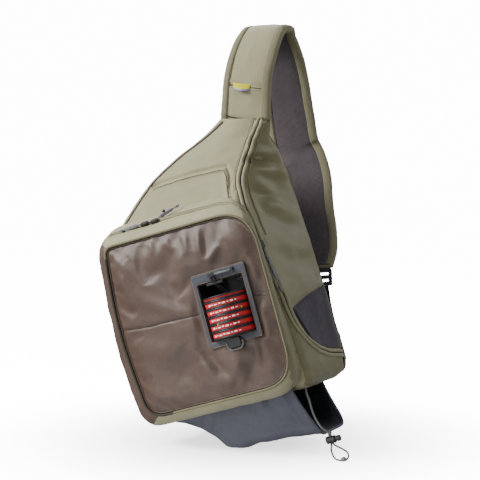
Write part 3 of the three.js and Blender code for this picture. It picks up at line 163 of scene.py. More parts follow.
def clothMaterial(name, dark, light, rough=0.7, weave=1400.0, weaveDepth=0.25, blotch=18.0, sheen=0.0,
                  wear=0.0, coordinate="Object", pattern="weave", specular=0.35, coat=0.0):
    m = bpy.data.materials.new(name)
    m.use_nodes = True
    t = m.node_tree
    t.nodes.clear()
    out = node(t, "ShaderNodeOutputMaterial")
    shader = node(t, "ShaderNodeBsdfPrincipled")
    t.links.new(shader.outputs[0], out.inputs[0])
    place = node(t, "ShaderNodeTexCoord")
    where = place.outputs[coordinate]
    big = node(t, "ShaderNodeTexNoise", Scale=blotch, Detail=4.0, Roughness=0.6)
    fine = node(t, "ShaderNodeTexNoise", Scale=blotch * 22, Detail=3.0, Roughness=0.7)
    t.links.new(where, big.inputs["Vector"])
    t.links.new(where, fine.inputs["Vector"])
    mixNoise = node(t, "ShaderNodeMix", data_type="FLOAT")
    mixNoise.inputs[0].default_value = 0.4
    t.links.new(big.outputs[0], mixNoise.inputs[2])
    t.links.new(fine.outputs[0], mixNoise.inputs[3])
    ramp = node(t, "ShaderNodeValToRGB")
    ramp.color_ramp.elements[0].position = 0.3
    ramp.color_ramp.elements[0].color = dark
    ramp.color_ramp.elements[1].position = 0.72
    ramp.color_ramp.elements[1].color = light
    t.links.new(mixNoise.outputs[0], ramp.inputs[0])
    colour = ramp.outputs[0]
    if pattern == "weave":
        warp = node(t, "ShaderNodeTexWave", wave_type="BANDS", bands_direction="X", Scale=weave, Distortion=0.6)
        weft = node(t, "ShaderNodeTexWave", wave_type="BANDS", bands_direction="Z", Scale=weave, Distortion=0.6)
        t.links.new(where, warp.inputs["Vector"])
        t.links.new(where, weft.inputs["Vector"])
        height = node(t, "ShaderNodeMath", operation="MAXIMUM")
        t.links.new(warp.outputs[1], height.inputs[0])
        t.links.new(weft.outputs[1], height.inputs[1])
        heightOut = height.outputs[0]
    elif pattern == "spacer":
        # rows of small holes, offset every second row
        split = node(t, "ShaderNodeSeparateXYZ")
        t.links.new(where, split.inputs[0])
        waves = []
        for a, b in ((1.0, 1.0), (1.0, -1.0)):
            left = node(t, "ShaderNodeMath", operation="MULTIPLY")
            left.inputs[1].default_value = a * weave
            right = node(t, "ShaderNodeMath", operation="MULTIPLY_ADD")
            right.inputs[1].default_value = b * weave
            t.links.new(split.outputs[0], left.inputs[0])
            t.links.new(split.outputs[1], right.inputs[0])
            t.links.new(left.outputs[0], right.inputs[2])
            wave = node(t, "ShaderNodeMath", operation="SINE")
            t.links.new(right.outputs[0], wave.inputs[0])
            waves.append(wave)
        both = node(t, "ShaderNodeMath", operation="MULTIPLY")
        t.links.new(waves[0].outputs[0], both.inputs[0])
        t.links.new(waves[1].outputs[0], both.inputs[1])
        shaped = node(t, "ShaderNodeMapRange")
        shaped.inputs["From Min"].default_value = -0.7
        shaped.inputs["From Max"].default_value = 0.7
        t.links.new(both.outputs[0], shaped.inputs[0])
        heightOut = shaped.outputs[0]
        dots = node(t, "ShaderNodeMix", data_type="RGBA")
        dots.inputs[6].default_value = (dark[0] * 0.35, dark[1] * 0.35, dark[2] * 0.35, 1)
        t.links.new(heightOut, dots.inputs[0])
        t.links.new(colour, dots.inputs[7])
        colour = dots.outputs[2]
    else:
        pile = node(t, "ShaderNodeTexNoise", Scale=weave, Detail=5.0, Roughness=0.8)
        t.links.new(where, pile.inputs["Vector"])
        heightOut = pile.outputs[0]
    bump = node(t, "ShaderNodeBump", Strength=weaveDepth, Distance=0.0004)
    t.links.new(heightOut, bump.inputs["Height"])
    t.links.new(bump.outputs[0], shader.inputs["Normal"])
    if wear:
        edge = node(t, "ShaderNodeNewGeometry")
        rub = node(t, "ShaderNodeMapRange")
        rub.inputs["From Min"].default_value = 0.52
        rub.inputs["From Max"].default_value = 0.62
        rub.inputs["To Max"].default_value = wear
        t.links.new(edge.outputs["Pointiness"], rub.inputs[0])
        worn = node(t, "ShaderNodeMix", data_type="RGBA")
        worn.inputs[7].default_value = (min(1, light[0] * 1.6), min(1, light[1] * 1.6), min(1, light[2] * 1.6), 1)
        t.links.new(rub.outputs[0], worn.inputs[0])
        t.links.new(colour, worn.inputs[6])
        colour = worn.outputs[2]
    t.links.new(colour, shader.inputs["Base Color"])
    roughRange = node(t, "ShaderNodeMapRange")
    roughRange.inputs["To Min"].default_value = max(0.05, rough - 0.07)
    roughRange.inputs["To Max"].default_value = min(1.0, rough + 0.07)
    t.links.new(mixNoise.outputs[0], roughRange.inputs[0])
    t.links.new(roughRange.outputs[0], shader.inputs["Roughness"])
    shader.inputs["Specular IOR Level"].default_value = specular
    shader.inputs["Sheen Weight"].default_value = sheen
    shader.inputs["Sheen Roughness"].default_value = 0.5
    shader.inputs["Coat Weight"].default_value = coat
    shader.inputs["Coat Roughness"].default_value = 0.4
    return m


finishes = {
    "sage": clothMaterial("sageNylon", rgb(128, 124, 94), rgb(142, 138, 108), 0.7, sheen=0.15, wear=0.15),
    # a darker copy of the sage nylon: painted shade for faces turned away from the key light
    "shadedSage": clothMaterial("sageNylonPaintedShade", rgb(100, 96, 66), rgb(112, 108, 76), 0.42, sheen=0.1, wear=0.1),
    "brown": clothMaterial("coatedBrown", rgb(66, 51, 42), rgb(76, 60, 50), 0.47, weaveDepth=0.2, specular=0.45),
    "slate": clothMaterial("slateNylon", rgb(66, 68, 78), rgb(78, 79, 90), 0.5, weave=1100, weaveDepth=0.35, wear=0.1),
    "frameCloth": clothMaterial("frameCloth", rgb(54, 56, 66), rgb(64, 66, 76), 0.5, weave=1100),
    "charcoal": clothMaterial("brushedPile", rgb(32, 25, 36), rgb(44, 36, 48), 0.95, weave=900, weaveDepth=0.9,
                              pattern="pile", sheen=0.3),
    "mesh": clothMaterial("spacerMesh", rgb(76, 69, 73), rgb(104, 96, 100), 0.85, weave=1750, weaveDepth=0.9,
                          pattern="spacer", coordinate="UV"),
    "taupe": clothMaterial("grosgrainBinding", rgb(112, 108, 84), rgb(130, 125, 100), 0.8, weave=700, weaveDepth=0.6),
    "tan": clothMaterial("tanThread", rgb(92, 78, 62), rgb(112, 96, 78), 0.8),
    "browner": clothMaterial("brownThread", rgb(58, 46, 38), rgb(72, 58, 48), 0.7),
    "shade": clothMaterial("creaseShade", rgb(40, 38, 30), rgb(52, 50, 40), 0.9),
    "thread": clothMaterial("sageThread", rgb(88, 84, 62), rgb(106, 102, 78), 0.8),
    "zip": clothMaterial("zipTape", rgb(30, 28, 30), rgb(44, 42, 44), 0.6, weave=800, weaveDepth=0.6),
    "webbing": clothMaterial("blackWebbing", rgb(26, 26, 29), rgb(42, 42, 46), 0.65, weave=420, weaveDepth=1.0),
    "lime": clothMaterial("limeRibbon", rgb(186, 178, 14), rgb(206, 198, 30), 0.6, weave=600, weaveDepth=0.6),
    "blueGrey": clothMaterial("blueGreyRibbon", rgb(120, 124, 160), rgb(144, 148, 180), 0.6, weave=600, weaveDepth=0.6),
    "cord": clothMaterial("greyCord", rgb(104, 106, 104), rgb(140, 142, 138), 0.7, weave=900, weaveDepth=0.9),
    "darkCord": clothMaterial("blackCord", rgb(22, 22, 24), rgb(50, 50, 54), 0.6, weave=900, weaveDepth=0.9),
}


def hardMaterial(name, dark, light, rough, specular=0.5, metallic=0.0, grain=260.0, depth=0.12):
    m = bpy.data.materials.new(name)
    m.use_nodes = True
    t = m.node_tree
    shader = t.nodes["Principled BSDF"]
    place = node(t, "ShaderNodeTexCoord")
    speckle = node(t, "ShaderNodeTexNoise", Scale=grain, Detail=4.0, Roughness=0.6)
    t.links.new(place.outputs["Object"], speckle.inputs["Vector"])
    ramp = node(t, "ShaderNodeValToRGB")
    ramp.color_ramp.elements[0].position = 0.35
    ramp.color_ramp.elements[0].color = dark
    ramp.color_ramp.elements[1].position = 0.7
    ramp.color_ramp.elements[1].color = light
    t.links.new(speckle.outputs[0], ramp.inputs[0])
    t.links.new(ramp.outputs[0], shader.inputs["Base Color"])
    bump = node(t, "ShaderNodeBump", Strength=depth, Distance=0.0003)
    t.links.new(speckle.outputs[0], bump.inputs["Height"])
    t.links.new(bump.outputs[0], shader.inputs["Normal"])
    roughRange = node(t, "ShaderNodeMapRange")
    roughRange.inputs["To Min"].default_value = max(0.02, rough - 0.08)
    roughRange.inputs["To Max"].default_value = rough + 0.08
    t.links.new(speckle.outputs[0], roughRange.inputs[0])
    t.links.new(roughRange.outputs[0], shader.inputs["Roughness"])
    shader.inputs["Specular IOR Level"].default_value = specular
    shader.inputs["Metallic"].default_value = metallic
    return m


finishes.update({
    "black": hardMaterial("blackMoulding", rgb(20, 20, 22), rgb(34, 34, 37), 0.42),
    "gloss": hardMaterial("glossTray", rgb(12, 13, 15), rgb(22, 23, 26), 0.16, 0.6, depth=0.03),
    "grey": hardMaterial("greyMoulding", rgb(96, 96, 104), rgb(128, 128, 136), 0.45),
    "red": hardMaterial("redBand", rgb(165, 0, 8), rgb(188, 2, 14), 0.55, depth=0.1),
    "white": hardMaterial("whitePrint", rgb(226, 220, 220), rgb(240, 236, 236), 0.6),
    "gold": hardMaterial("goldRivet", rgb(190, 150, 70), rgb(220, 186, 110), 0.3, 0.5, 1.0),
    "thinLine": hardMaterial("clearLine", rgb(170, 170, 172), rgb(205, 205, 206), 0.25, 0.7),
})
print("materials", len(finishes))


# Mesh helpers. Points are in millimetres of the bag's frame until they are placed.
def makeObject(name, verts, faces, finish, uv=None, smooth=True):
    mesh = bpy.data.meshes.new(name)
    mesh.from_pydata([tuple(v) for v in verts], [], faces)
    mesh.update()
    if smooth:
        mesh.polygons.foreach_set("use_smooth", [True] * len(mesh.polygons))
    if uv is not None:
        layer = mesh.uv_layers.new(name="UVMap")
        loops = np.zeros(len(mesh.loops), int)
        mesh.loops.foreach_get("vertex_index", loops)
        layer.data.foreach_set("uv", np.asarray(uv, float)[loops].astype(np.float32).ravel())
    obj = bpy.data.objects.new(name, mesh)
    scene.collection.objects.link(obj)
    mesh.materials.append(finishes[finish])
    return obj


def gridFaces(rows, columns, wrapColumns=False, wrapRows=False, start=0):
    faces = []
    for r in range(rows if wrapRows else rows - 1):
        for c in range(columns if wrapColumns else columns - 1):
            r2, c2 = (r + 1) % rows, (c + 1) % columns
            faces.append((start + r * columns + c, start + r * columns + c2,
                          start + r2 * columns + c2, start + r2 * columns + c))
    return faces


def capFaces(rows, columns, verts, start=0):
    first = list(range(start, start + columns))
    last = list(range(start + (rows - 1) * columns, start + rows * columns))
    return [tuple(reversed(first)), tuple(last)]


def outward(obj):
    import bmesh
    b = bmesh.new()
    b.from_mesh(obj.data)
    bmesh.ops.recalc_face_normals(b, faces=b.faces)
    b.to_mesh(obj.data)
    b.free()
    return obj


def finishPiece(obj, body="bag", nodes=()):
    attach(obj, body)
    if nodes:
        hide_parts(*nodes)
    return obj


def spread(values, count):
    v = np.asarray(values, float)
    n = len(v)
    t = np.linspace(0, n - 1, count)
    i = np.clip(t.astype(int), 0, n - 2)
    f = (t - i)[(...,) + (None,) * (v.ndim - 1)]
    p0, p1, p2, p3 = v[np.clip(i - 1, 0, n - 1)], v[i], v[i + 1], v[np.clip(i + 2, 0, n - 1)]
    return p1 + 0.5 * f * (p2 - p0 + f * (2 * p0 - 5 * p1 + 4 * p2 - p3 + f * (3 * (p1 - p2) + p3 - p0)))


def curvePoints(points, count):
    dense = spread(points, max(200, count * 6))
    steps = np.r_[0, np.cumsum(np.linalg.norm(np.diff(dense, axis=0), axis=1))]
    t = np.linspace(0, steps[-1], count)
    return np.stack([np.interp(t, steps, dense[:, k]) for k in range(dense.shape[1])], 1)


def roundedLoop(corners, radii, cornerSteps, edgeSteps, crowns=None):
    corners = np.asarray(corners, float)
    loop = []
    n = len(corners)

    def towards(a, b, distance):
        d = b - a
        length = np.linalg.norm(d)
        return a + d / length * min(distance, 0.48 * length)

    for k in range(n):
        corner, after, before = corners[k], corners[(k + 1) % n], corners[k - 1]
        s, e = towards(corner, before, radii[k]), towards(corner, after, radii[k])
        for i in range(cornerSteps + 1):
            t = i / cornerSteps
            loop.append((1 - t) ** 2 * s + 2 * t * (1 - t) * corner + t * t * e)
        nxt = towards(after, corner, radii[(k + 1) % n])
        for i in range(1, edgeSteps[k]):
            t = i / edgeSteps[k]
            p = e * (1 - t) + nxt * t
            if crowns is not None and crowns[k] is not None:
                p = p + np.asarray(crowns[k]) * math.sin(math.pi * t)
            loop.append(p)
    return np.array(loop)


def gridNormals(p, wrap=False):
    if wrap:
        dc = np.roll(p, -1, 1) - np.roll(p, 1, 1)
    else:
        dc = np.gradient(p, axis=1)
    dr = np.gradient(p, axis=0)
    n = np.cross(dr, dc)
    return n / np.maximum(np.linalg.norm(n, axis=-1, keepdims=True), 1e-9)


def noiseField(points, size, seed=0.0):
    flat = points.reshape(-1, 3)
    out = np.array([noise.noise(Vector((p[0] / size + seed, p[1] / size, p[2] / size))) for p in flat])
    return out.reshape(points.shape[:-1])


def lineDistance(x, z, line):
    line = np.asarray(line, float)
    best = np.full(x.shape, 1e9)
    along = np.zeros(x.shape)
    length = np.r_[0, np.cumsum(np.linalg.norm(np.diff(line, axis=0), axis=1))]
    for k in range(len(line) - 1):
        a, b = line[k], line[k + 1]
        d = b - a
        t = np.clip(((x - a[0]) * d[0] + (z - a[1]) * d[1]) / max(d @ d, 1e-9), 0, 1)
        dist = np.hypot(x - a[0] - t * d[0], z - a[1] - t * d[1])
        near = dist < best
        best = np.where(near, dist, best)
        along = np.where(near, (length[k] + t * (length[k + 1] - length[k])) / length[-1], along)
    return best, along


def tubeMesh(name, points, radius, finish, sides=10, closed=False, caps=True):
    p = np.asarray(points, float)
    n = len(p)
    tangent = np.roll(p, -1, 0) - np.roll(p, 1, 0) if closed else np.gradient(p, axis=0)
    tangent /= np.linalg.norm(tangent, axis=1, keepdims=True)
    normal = np.zeros_like(p)
    ref = np.array([0.0, 0.0, 1.0]) if abs(tangent[0][2]) < 0.9 else np.array([1.0, 0.0, 0.0])
    normal[0] = np.cross(tangent[0], ref)
    normal[0] /= np.linalg.norm(normal[0])
    for i in range(1, n):
        v = normal[i - 1] - tangent[i] * (normal[i - 1] @ tangent[i])
        normal[i] = v / np.linalg.norm(v)
    binormal = np.cross(tangent, normal)
    radii = np.broadcast_to(radius, (n,))
    angles = np.linspace(0, 2 * math.pi, sides, endpoint=False)
    rings = (p[:, None] + radii[:, None, None] * (np.cos(angles)[None, :, None] * normal[:, None]
             + np.sin(angles)[None, :, None] * binormal[:, None]))
    verts = rings.reshape(-1, 3)
    faces = gridFaces(n, sides, wrapColumns=True, wrapRows=closed)
    if not closed and caps:
        faces += capFaces(n, sides, verts)
    return outward(makeObject(name, verts, faces, finish))


def treeOf(obj):
    verts = [v.co.copy() for v in obj.data.vertices]
    return BVHTree.FromPolygons(verts, [tuple(p.vertices) for p in obj.data.polygons])


def onSkin(tree, point):
    place, normal, index, dist = tree.find_nearest(Vector(point))
    return np.array(place), np.array(normal)


def skinPath(tree, points, count, facing=None):
    path = curvePoints(points, count)
    places, normals = [], []
    for p in path:
        a, n = onSkin(tree, p)
        if facing is not None and n @ np.asarray(facing) < 0:
            n = -n
        places.append(a)
        normals.append(n)
    places, normals = np.array(places), np.array(normals)
    for _ in range(2):
        normals[1:-1] = (normals[:-2] + normals[1:-1] * 2 + normals[2:]) / 4
    normals /= np.linalg.norm(normals, axis=1, keepdims=True)
    return places, normals


def stripOn(name, tree, points, count, profile, finish, facing=None, edges=None):
    places, normals = skinPath(tree, points, count, facing)
    tangent = np.gradient(places, axis=0)
    tangent /= np.linalg.norm(tangent, axis=1, keepdims=True)
    side = np.cross(normals, tangent)
    side /= np.linalg.norm(side, axis=1, keepdims=True)
    rings = []
    for s, h in profile:
        rings.append(places + side * s * mm + normals * h * mm)
    grid = np.stack(rings, 1)
    faces = gridFaces(count, len(profile), wrapColumns=True)
    verts = grid.reshape(-1, 3)
    faces += capFaces(count, len(profile), verts)
    return outward(makeObject(name, verts, faces, finish))


def stitchesOn(name, tree, lines, finish, pitch=3.4, length=2.3, radius=0.32, lift=0.25, facing=None):
    verts, faces = [], []
    for line in lines:
        rough = np.asarray(line, float)
        total = np.linalg.norm(np.diff(spread(rough, 200), axis=0), axis=1).sum() / mm
        count = max(2, int(total / pitch))
        dense, normals = skinPath(tree, rough, count * 4 + 1, facing)
        for k in range(count):
            a, b = dense[k * 4], dense[min(k * 4 + 3, len(dense) - 1)]
            n = normals[k * 4 + 1]
            d = b - a
            reach = np.linalg.norm(d)
            if reach < 1e-6:
                continue
            d = d / reach
            middle = (a + b) / 2 + n * lift * mm
            side = np.cross(n, d)
            half = length / 2 * mm
            start = len(verts)
            for t, r in ((-1, 0.35), (-0.6, 1.0), (0.6, 1.0), (1, 0.35)):
                c = middle + d * t * half - n * (abs(t) ** 3) * 0.25 * mm
                for q in range(4):
                    ang = math.pi / 4 + q * math.pi / 2
                    verts.append(c + (side * math.cos(ang) + n * math.sin(ang)) * radius * r * mm)
            faces += gridFaces(4, 4, wrapColumns=True, start=start)
            faces += capFaces(4, 4, verts, start)
    return outward(makeObject(name, verts, faces, finish))


# Free cord of the sleeve's lock: a loop that touches the floor.
cordSet = {
    "diameter": 2.8,
    "lock": (141.0, 54.0, -15.5),
    "strand": 1.55,
    "route": [(140.8, 51, 12.7), (144.5, 47.5, 6.5), (150, 43.5, 2.6), (156.5, 41.2, 1.7), (163, 40.6, 1.7),
              (168, 41.5, 3.4), (169.6, 44, 7.6), (166.4, 47.6, 12.4), (158, 50.6, 15.6), (149, 53, 18)],
    "points": 44,
}


def lockStrand(side, down):
    x, y, z = cordSet["lock"]
    return bagPoints((x + side * cordSet["strand"], y, z - down))


def makeCordLoop(s):
    route = [lockStrand(-1, -2), lockStrand(-1, 6.4), *standPoints(s["route"]), lockStrand(1, 6.4), lockStrand(1, -2)]
    path = curvePoints(route, s["points"])
    path[:, 2] = np.maximum(path[:, 2], (s["diameter"] / 2 + 0.1) * mm)
    loop = tubeMesh("cordLoop", path, s["diameter"] / 2 * mm, "cord", 10)
    finishPiece(loop, nodes=["cord_loop"])
    bead = bpy.data.objects.new("cordBead", frame["nodes"]["cord_end"].data.copy())
    scene.collection.objects.link(bead)
    bead.data.materials.clear()
    bead.data.materials.append(finishes["grey"])
    soften(bead, 0.4, 2)
    finishPiece(bead, nodes=["cord_end"])
    return loop


def soften(obj, width, segments=2, angle=35):
    bevel = obj.modifiers.new("bevel", "BEVEL")
    bevel.width = width * mm
    bevel.segments = segments
    bevel.limit_method = "ANGLE"
    bevel.angle_limit = math.radians(angle)
    bevel.harden_normals = False
    obj.data.polygons.foreach_set("use_smooth", [True] * len(obj.data.polygons))
    return obj


cordLoop = makeCordLoop(cordSet)
print("camera and cord ready")


# The main sack: rows of rounded outlines up the leaning bag.
bodySet = {
    "left": -122.0, "width": 260.0, "floor": 62.0, "height": 412.0, "front": 52.0, "depth": 138.0,
    "radii": (16, 16, 22, 22), "crown": 4.0, "rows": 240, "lift": 0.4,
    "outlines": [  # left, its rise, right, its rise, rear, left in, right in, back
        (0.085, 0, 0.923, 0, 0.923, 0.07, 0.07, 0.93), (0.02, 0.015, 0.96, 0.015, 0.97, 0.015, 0.02, 0.985),
        (0, 0.053, 0.975, 0.053, 0.99, 0, 0.02, 1), (-0.008, 0.214, 0.958, 0.214, 0.996, 0, 0.03, 1),
        (-0.008, 0.36, 0.954, 0.36, 0.998, 0, 0.03, 1.01), (-0.004, 0.505, 0.915, 0.505, 0.992, 0, 0.03, 1),
        (0.004, 0.621, 0.869, 0.621, 0.985, 0.015, 0.045, 1), (0.02, 0.694, 0.842, 0.68, 0.985, 0.05, 0.09, 0.985),
        (0.072, 0.745, 0.835, 0.723, 0.987, 0.11, 0.17, 0.965), (0.175, 0.81, 0.846, 0.777, 0.99, 0.2, 0.26, 0.92),
        (0.338, 0.888, 0.881, 0.84, 1, 0.33, 0.37, 0.83), (0.554, 0.947, 0.946, 0.896, 1.01, 0.43, 0.45, 0.71),
        (0.738, 1, 1.035, 0.942, 1.035, 0.49, 0.51, 0.6)],
    "seams": [[(-46, 404), (-36, 406), (20, 405), (60, 402), (75, 399), (80, 385), (80, 363), (84, 345), (86, 330)]],
    "seamDepth": 2.0, "seamWidth": 1.7, "pillow": 2.4,
    # folds of the right panel: depth in y, height, half sizes, how far out
    "sideFolds": [(126, 408, 22, 7, 5.0), (122, 395, 22, 5.5, -6.0), (126, 381, 26, 8, 5.6), (110, 366, 13, 13, 5.0),
                  (116, 346, 20, 8, -4.2), (122, 326, 22, 11, 4.2), (146, 362, 16, 14, -4.4), (98, 326, 10, 16, -3.0),
                  (134, 298, 26, 13, -4.0), (114, 266, 20, 16, 3.8), (142, 238, 26, 18, -3.6), (152, 426, 14, 9, -4.0)],
}


def bodyAt(sx, sy, sz):
    s = bodySet
    return (s["left"] + s["width"] * sx, s["front"] + s["depth"] * sy, s["floor"] + s["height"] * sz)


def makeBody(s):
    rows = spread(s["outlines"], s["rows"])
    loops = []
    for left, leftRise, right, rightRise, rear, leftIn, rightIn, back in rows:
        corners = [bodyAt(left, leftIn, leftRise), bodyAt(right, rightIn, rightRise),
                   bodyAt(rear, back, rightRise), bodyAt(left, back, leftRise)]
        loops.append(roundedLoop(corners, s["radii"], 8, [100, 60, 24, 30], [(0, -s["crown"], 0), None, None, None]))
    p = np.array(loops)
    n = gridNormals(p, wrap=True)
    middle = p.mean(axis=(0, 1))
    if ((p - middle) * n).sum() < 0:
        n = -n
    push = np.full(p.shape[:2], s["lift"])
    front = np.clip(-n[..., 1] * 2 - 0.4, 0, 1)
    for seam in s["seams"]:
        d, _ = lineDistance(p[..., 0], p[..., 2], seam)
        push += front * (-s["seamDepth"] * np.exp(-(d / s["seamWidth"]) ** 2)
                         + 1.1 * np.exp(-((d - 5.5) / 4.0) ** 2))
    side = np.clip(n[..., 0] * 2 - 0.5, 0, 1)
    for y, z, ry, rz, out in s["sideFolds"]:
        turn = (p[..., 2] - z) + (p[..., 1] - y) * 0.22
        push += side * out * np.exp(-((p[..., 1] - y) / ry) ** 2 - (turn / rz) ** 2)
    soft = noiseField(p * np.array([1, 1, 0.6]), 62, 3.0)
    small = noiseField(p * np.array([1, 1, 1.6]), 21, 8.0)
    push += s["pillow"] * soft + 0.7 * small
    ends = np.minimum(np.arange(s["rows"]), np.arange(s["rows"])[::-1])[:, None]
    push *= np.clip(ends / 4, 0, 1)
    p = p + n * push[..., None]
    p[..., 1] = np.clip(p[..., 1], None, 190.3)
    verts = bagPoints(p.reshape(-1, 3))
    columns = p.shape[1]
    faces = gridFaces(s["rows"], columns, wrapColumns=True)
    faces += capFaces(s["rows"], columns, verts)
    return outward(makeObject("mainSack", verts, faces, "sage"))


sack = makeBody(bodySet)
finishPiece(sack, nodes=["main_shell"])
sackTree = treeOf(sack)
# faces turned toward the bag's right side take the darker sage copy: painted shade on the side panel away from the key
# light
sack.data.materials.append(finishes["shadedSage"])
sideWay = Vector((leanCos, 0, leanSin))
for face in sack.data.polygons:
    if face.normal.dot(sideWay) > 0.45:
        face.material_index = 1
sackGrid = np.array([v.co for v in sack.data.vertices]).reshape(bodySet["rows"], -1, 3)
leftEdge = tubeMesh("leftPiping", curvePoints(sackGrid[128:236, 7], 110), 1.6 * mm, "brown", 8)
finishPiece(leftEdge)
seamPath = [(-46, 75, 404), (-36, 75, 406), (20, 75, 405), (60, 74, 402), (75, 72, 399), (80, 66, 385), (80, 62, 363), (84, 56, 345), (86, 54, 330)]
seamRow = bagPoints(curvePoints(np.array(seamPath, float), 60))
frontWay = np.array((0, -1.0, 0.15))
seamThread = stitchesOn("seamStitches", sackTree, [seamRow + np.array((-0.0008, 0, -0.0034))], "thread", pitch=3.0, facing=frontWay)
finishPiece(seamThread)
seamShade = stripOn("seamShade", sackTree, seamRow, 140, [(-0.5, -0.3), (-0.45, 0.25), (0.45, 0.25), (0.5, -0.3)], "shade", frontWay)
finishPiece(seamShade)
print("sack", len(sack.data.vertices))


# Zip flap: two welts with dark creases between them, the fold's crease darkened by a strip of painted shade, running
# down into the groove by the pocket.
flapSet = {
    "lineA": [(129, 118, 460), (118, 112, 441), (106, 105, 424), (91, 90, 388), (88, 82, 370), (90, 75, 357), (97, 60, 321)],
    "lineB": [(136, 118, 456), (125, 112, 438), (115, 106, 421), (98, 92, 386), (95, 85, 372), (96, 80, 363),
              (102, 66, 332), (109, 62, 306)],
    "lineC": [(139, 122, 443), (126, 116, 422), (116, 112, 406), (104, 104, 386), (100, 100, 378), (96, 90, 347),
              (102, 80, 316), (107, 76, 284)],
    "groove": [(97, 78, 375), (98, 72, 352), (104, 66, 325), (111, 60, 298), (116, 58, 260), (122, 58, 238), (126, 58, 212),
               (128, 60, 190), (128, 62, 176), (127, 70, 149), (124, 90, 124), (123, 125, 104), (136, 185, 93)],
    "welt": [(-2.6, -1), (-2.5, 0.9), (-1.7, 2.0), (-0.6, 2.5), (0.6, 2.5), (1.7, 2.0), (2.5, 0.9), (2.6, -1)],
    "core": [(-1.4, -0.6), (-1.3, 0.9), (-0.5, 1.2), (0.5, 1.2), (1.3, 0.9), (1.4, -0.6)],
    "creaseShadeStrip": [(-0.8, -0.5), (-0.75, 0.8), (0.75, 0.8), (0.8, -0.5)],
    "cord": [(-1.3, -0.4), (-1.2, 0.9), (-0.5, 1.6), (0.5, 1.6), (1.2, 0.9), (1.3, -0.4)],
}


def midLine(a, b, count=30, share=0.5):
    return curvePoints(np.array(a, float), count) * (1 - share) + curvePoints(np.array(b, float), count) * share


def makeFlap(s):
    facing = np.array(bagPoints([(1, -1, 0.2)])[0] - bagPoints([(0, 0, 0)])[0])
    upper = curvePoints(np.array(s["lineB"], float), 40)
    core = np.r_[upper[:-1], np.array(s["groove"], float)[3:]]
    core = bagPoints(curvePoints(core, 80))
    zipCore = stripOn("zipCore", sackTree, core, 260, s["core"], "zip", facing)
    finishPiece(zipCore, nodes=["main_zip"])
    coreTree = sackTree
    for name, offset in (("flapWeltFront", -3.4), ("flapWeltSide", 3.2)):
        welt = stripOn(name, coreTree, core, 260, [(x + offset, y) for x, y in s["welt"]], "sage", facing)
        finishPiece(welt)
    # a thin dark strip along the fold: painted shade in the crease
    fold = bagPoints(curvePoints(np.array(s["lineA"], float), 40))
    creaseShadeStrip = stripOn("flapCreasePaintedShade", sackTree, fold, 120, s["creaseShadeStrip"], "shade", facing)
    finishPiece(creaseShadeStrip)
    edge = stripOn("flapEdge", sackTree, fold, 120, [(x + 1.7, y) for x, y in s["cord"]], "sage", facing)
    finishPiece(edge)
    side = bagPoints(curvePoints(np.array(s["lineC"], float), 40))
    sideEdge = stripOn("flapPiping", sackTree, side, 120, s["cord"], "taupe", facing)
    finishPiece(sideEdge)
    threads = stitchesOn("flapStitches", sackTree, [fold + np.array((-0.0035, 0, -0.0008))], "thread", facing=facing)
    finishPiece(threads)


makeFlap(flapSet)


# Fly patch of dark pile on the right panel
patchSet = {
    "top": [(124, 70, 174), (131, 120, 188), (139, 178, 198)],
    "bottom": [(124, 96, 125), (123, 112, 112), (129, 150, 106), (136, 185, 100)],
    "thick": 2.6, "across": 60, "up": 34,
}


def makePatch(s):
    top, bottom = curvePoints(np.array(s["top"], float), s["across"]), curvePoints(np.array(s["bottom"], float), s["across"])
    share = np.linspace(0, 1, s["up"])[:, None, None]
    grid = bagPoints(top[None] * (1 - share) + bottom[None] * share)
    outer = np.zeros_like(grid)
    inner = np.zeros_like(grid)
    for r in range(s["up"]):
        for c in range(s["across"]):
            place, normal = onSkin(sackTree, grid[r, c])
            if normal @ np.array(sideWay) < 0:
                normal = -normal
            edge = min(r, c, s["up"] - 1 - r, s["across"] - 1 - c)
            height = s["thick"] * min(1, 0.35 + edge * 0.3)
            pile = noise.noise(Vector(place * 1000 / 3.0)) * 0.35
            outer[r, c] = place + normal * (height + pile) * mm
            inner[r, c] = place - normal * 0.4 * mm
    n = s["up"] * s["across"]
    verts = np.r_[outer.reshape(-1, 3), inner.reshape(-1, 3)]
    faces = gridFaces(s["up"], s["across"])
    faces += [tuple(reversed([i + n for i in f])) for f in gridFaces(s["up"], s["across"])]
    ring = ([c for c in range(s["across"])] + [r * s["across"] + s["across"] - 1 for r in range(1, s["up"])]
            + [(s["up"] - 1) * s["across"] + c for c in range(s["across"] - 2, -1, -1)]
            + [r * s["across"] for r in range(s["up"] - 2, 0, -1)])
    for k, i in enumerate(ring):
        j = ring[(k + 1) % len(ring)]
        faces.append((i, i + n, j + n, j))
    return outward(makeObject("flyPatch", verts, faces, "charcoal"))


patch = makePatch(patchSet)
finishPiece(patch, nodes=["fly_patch"])
print("flap and patch")


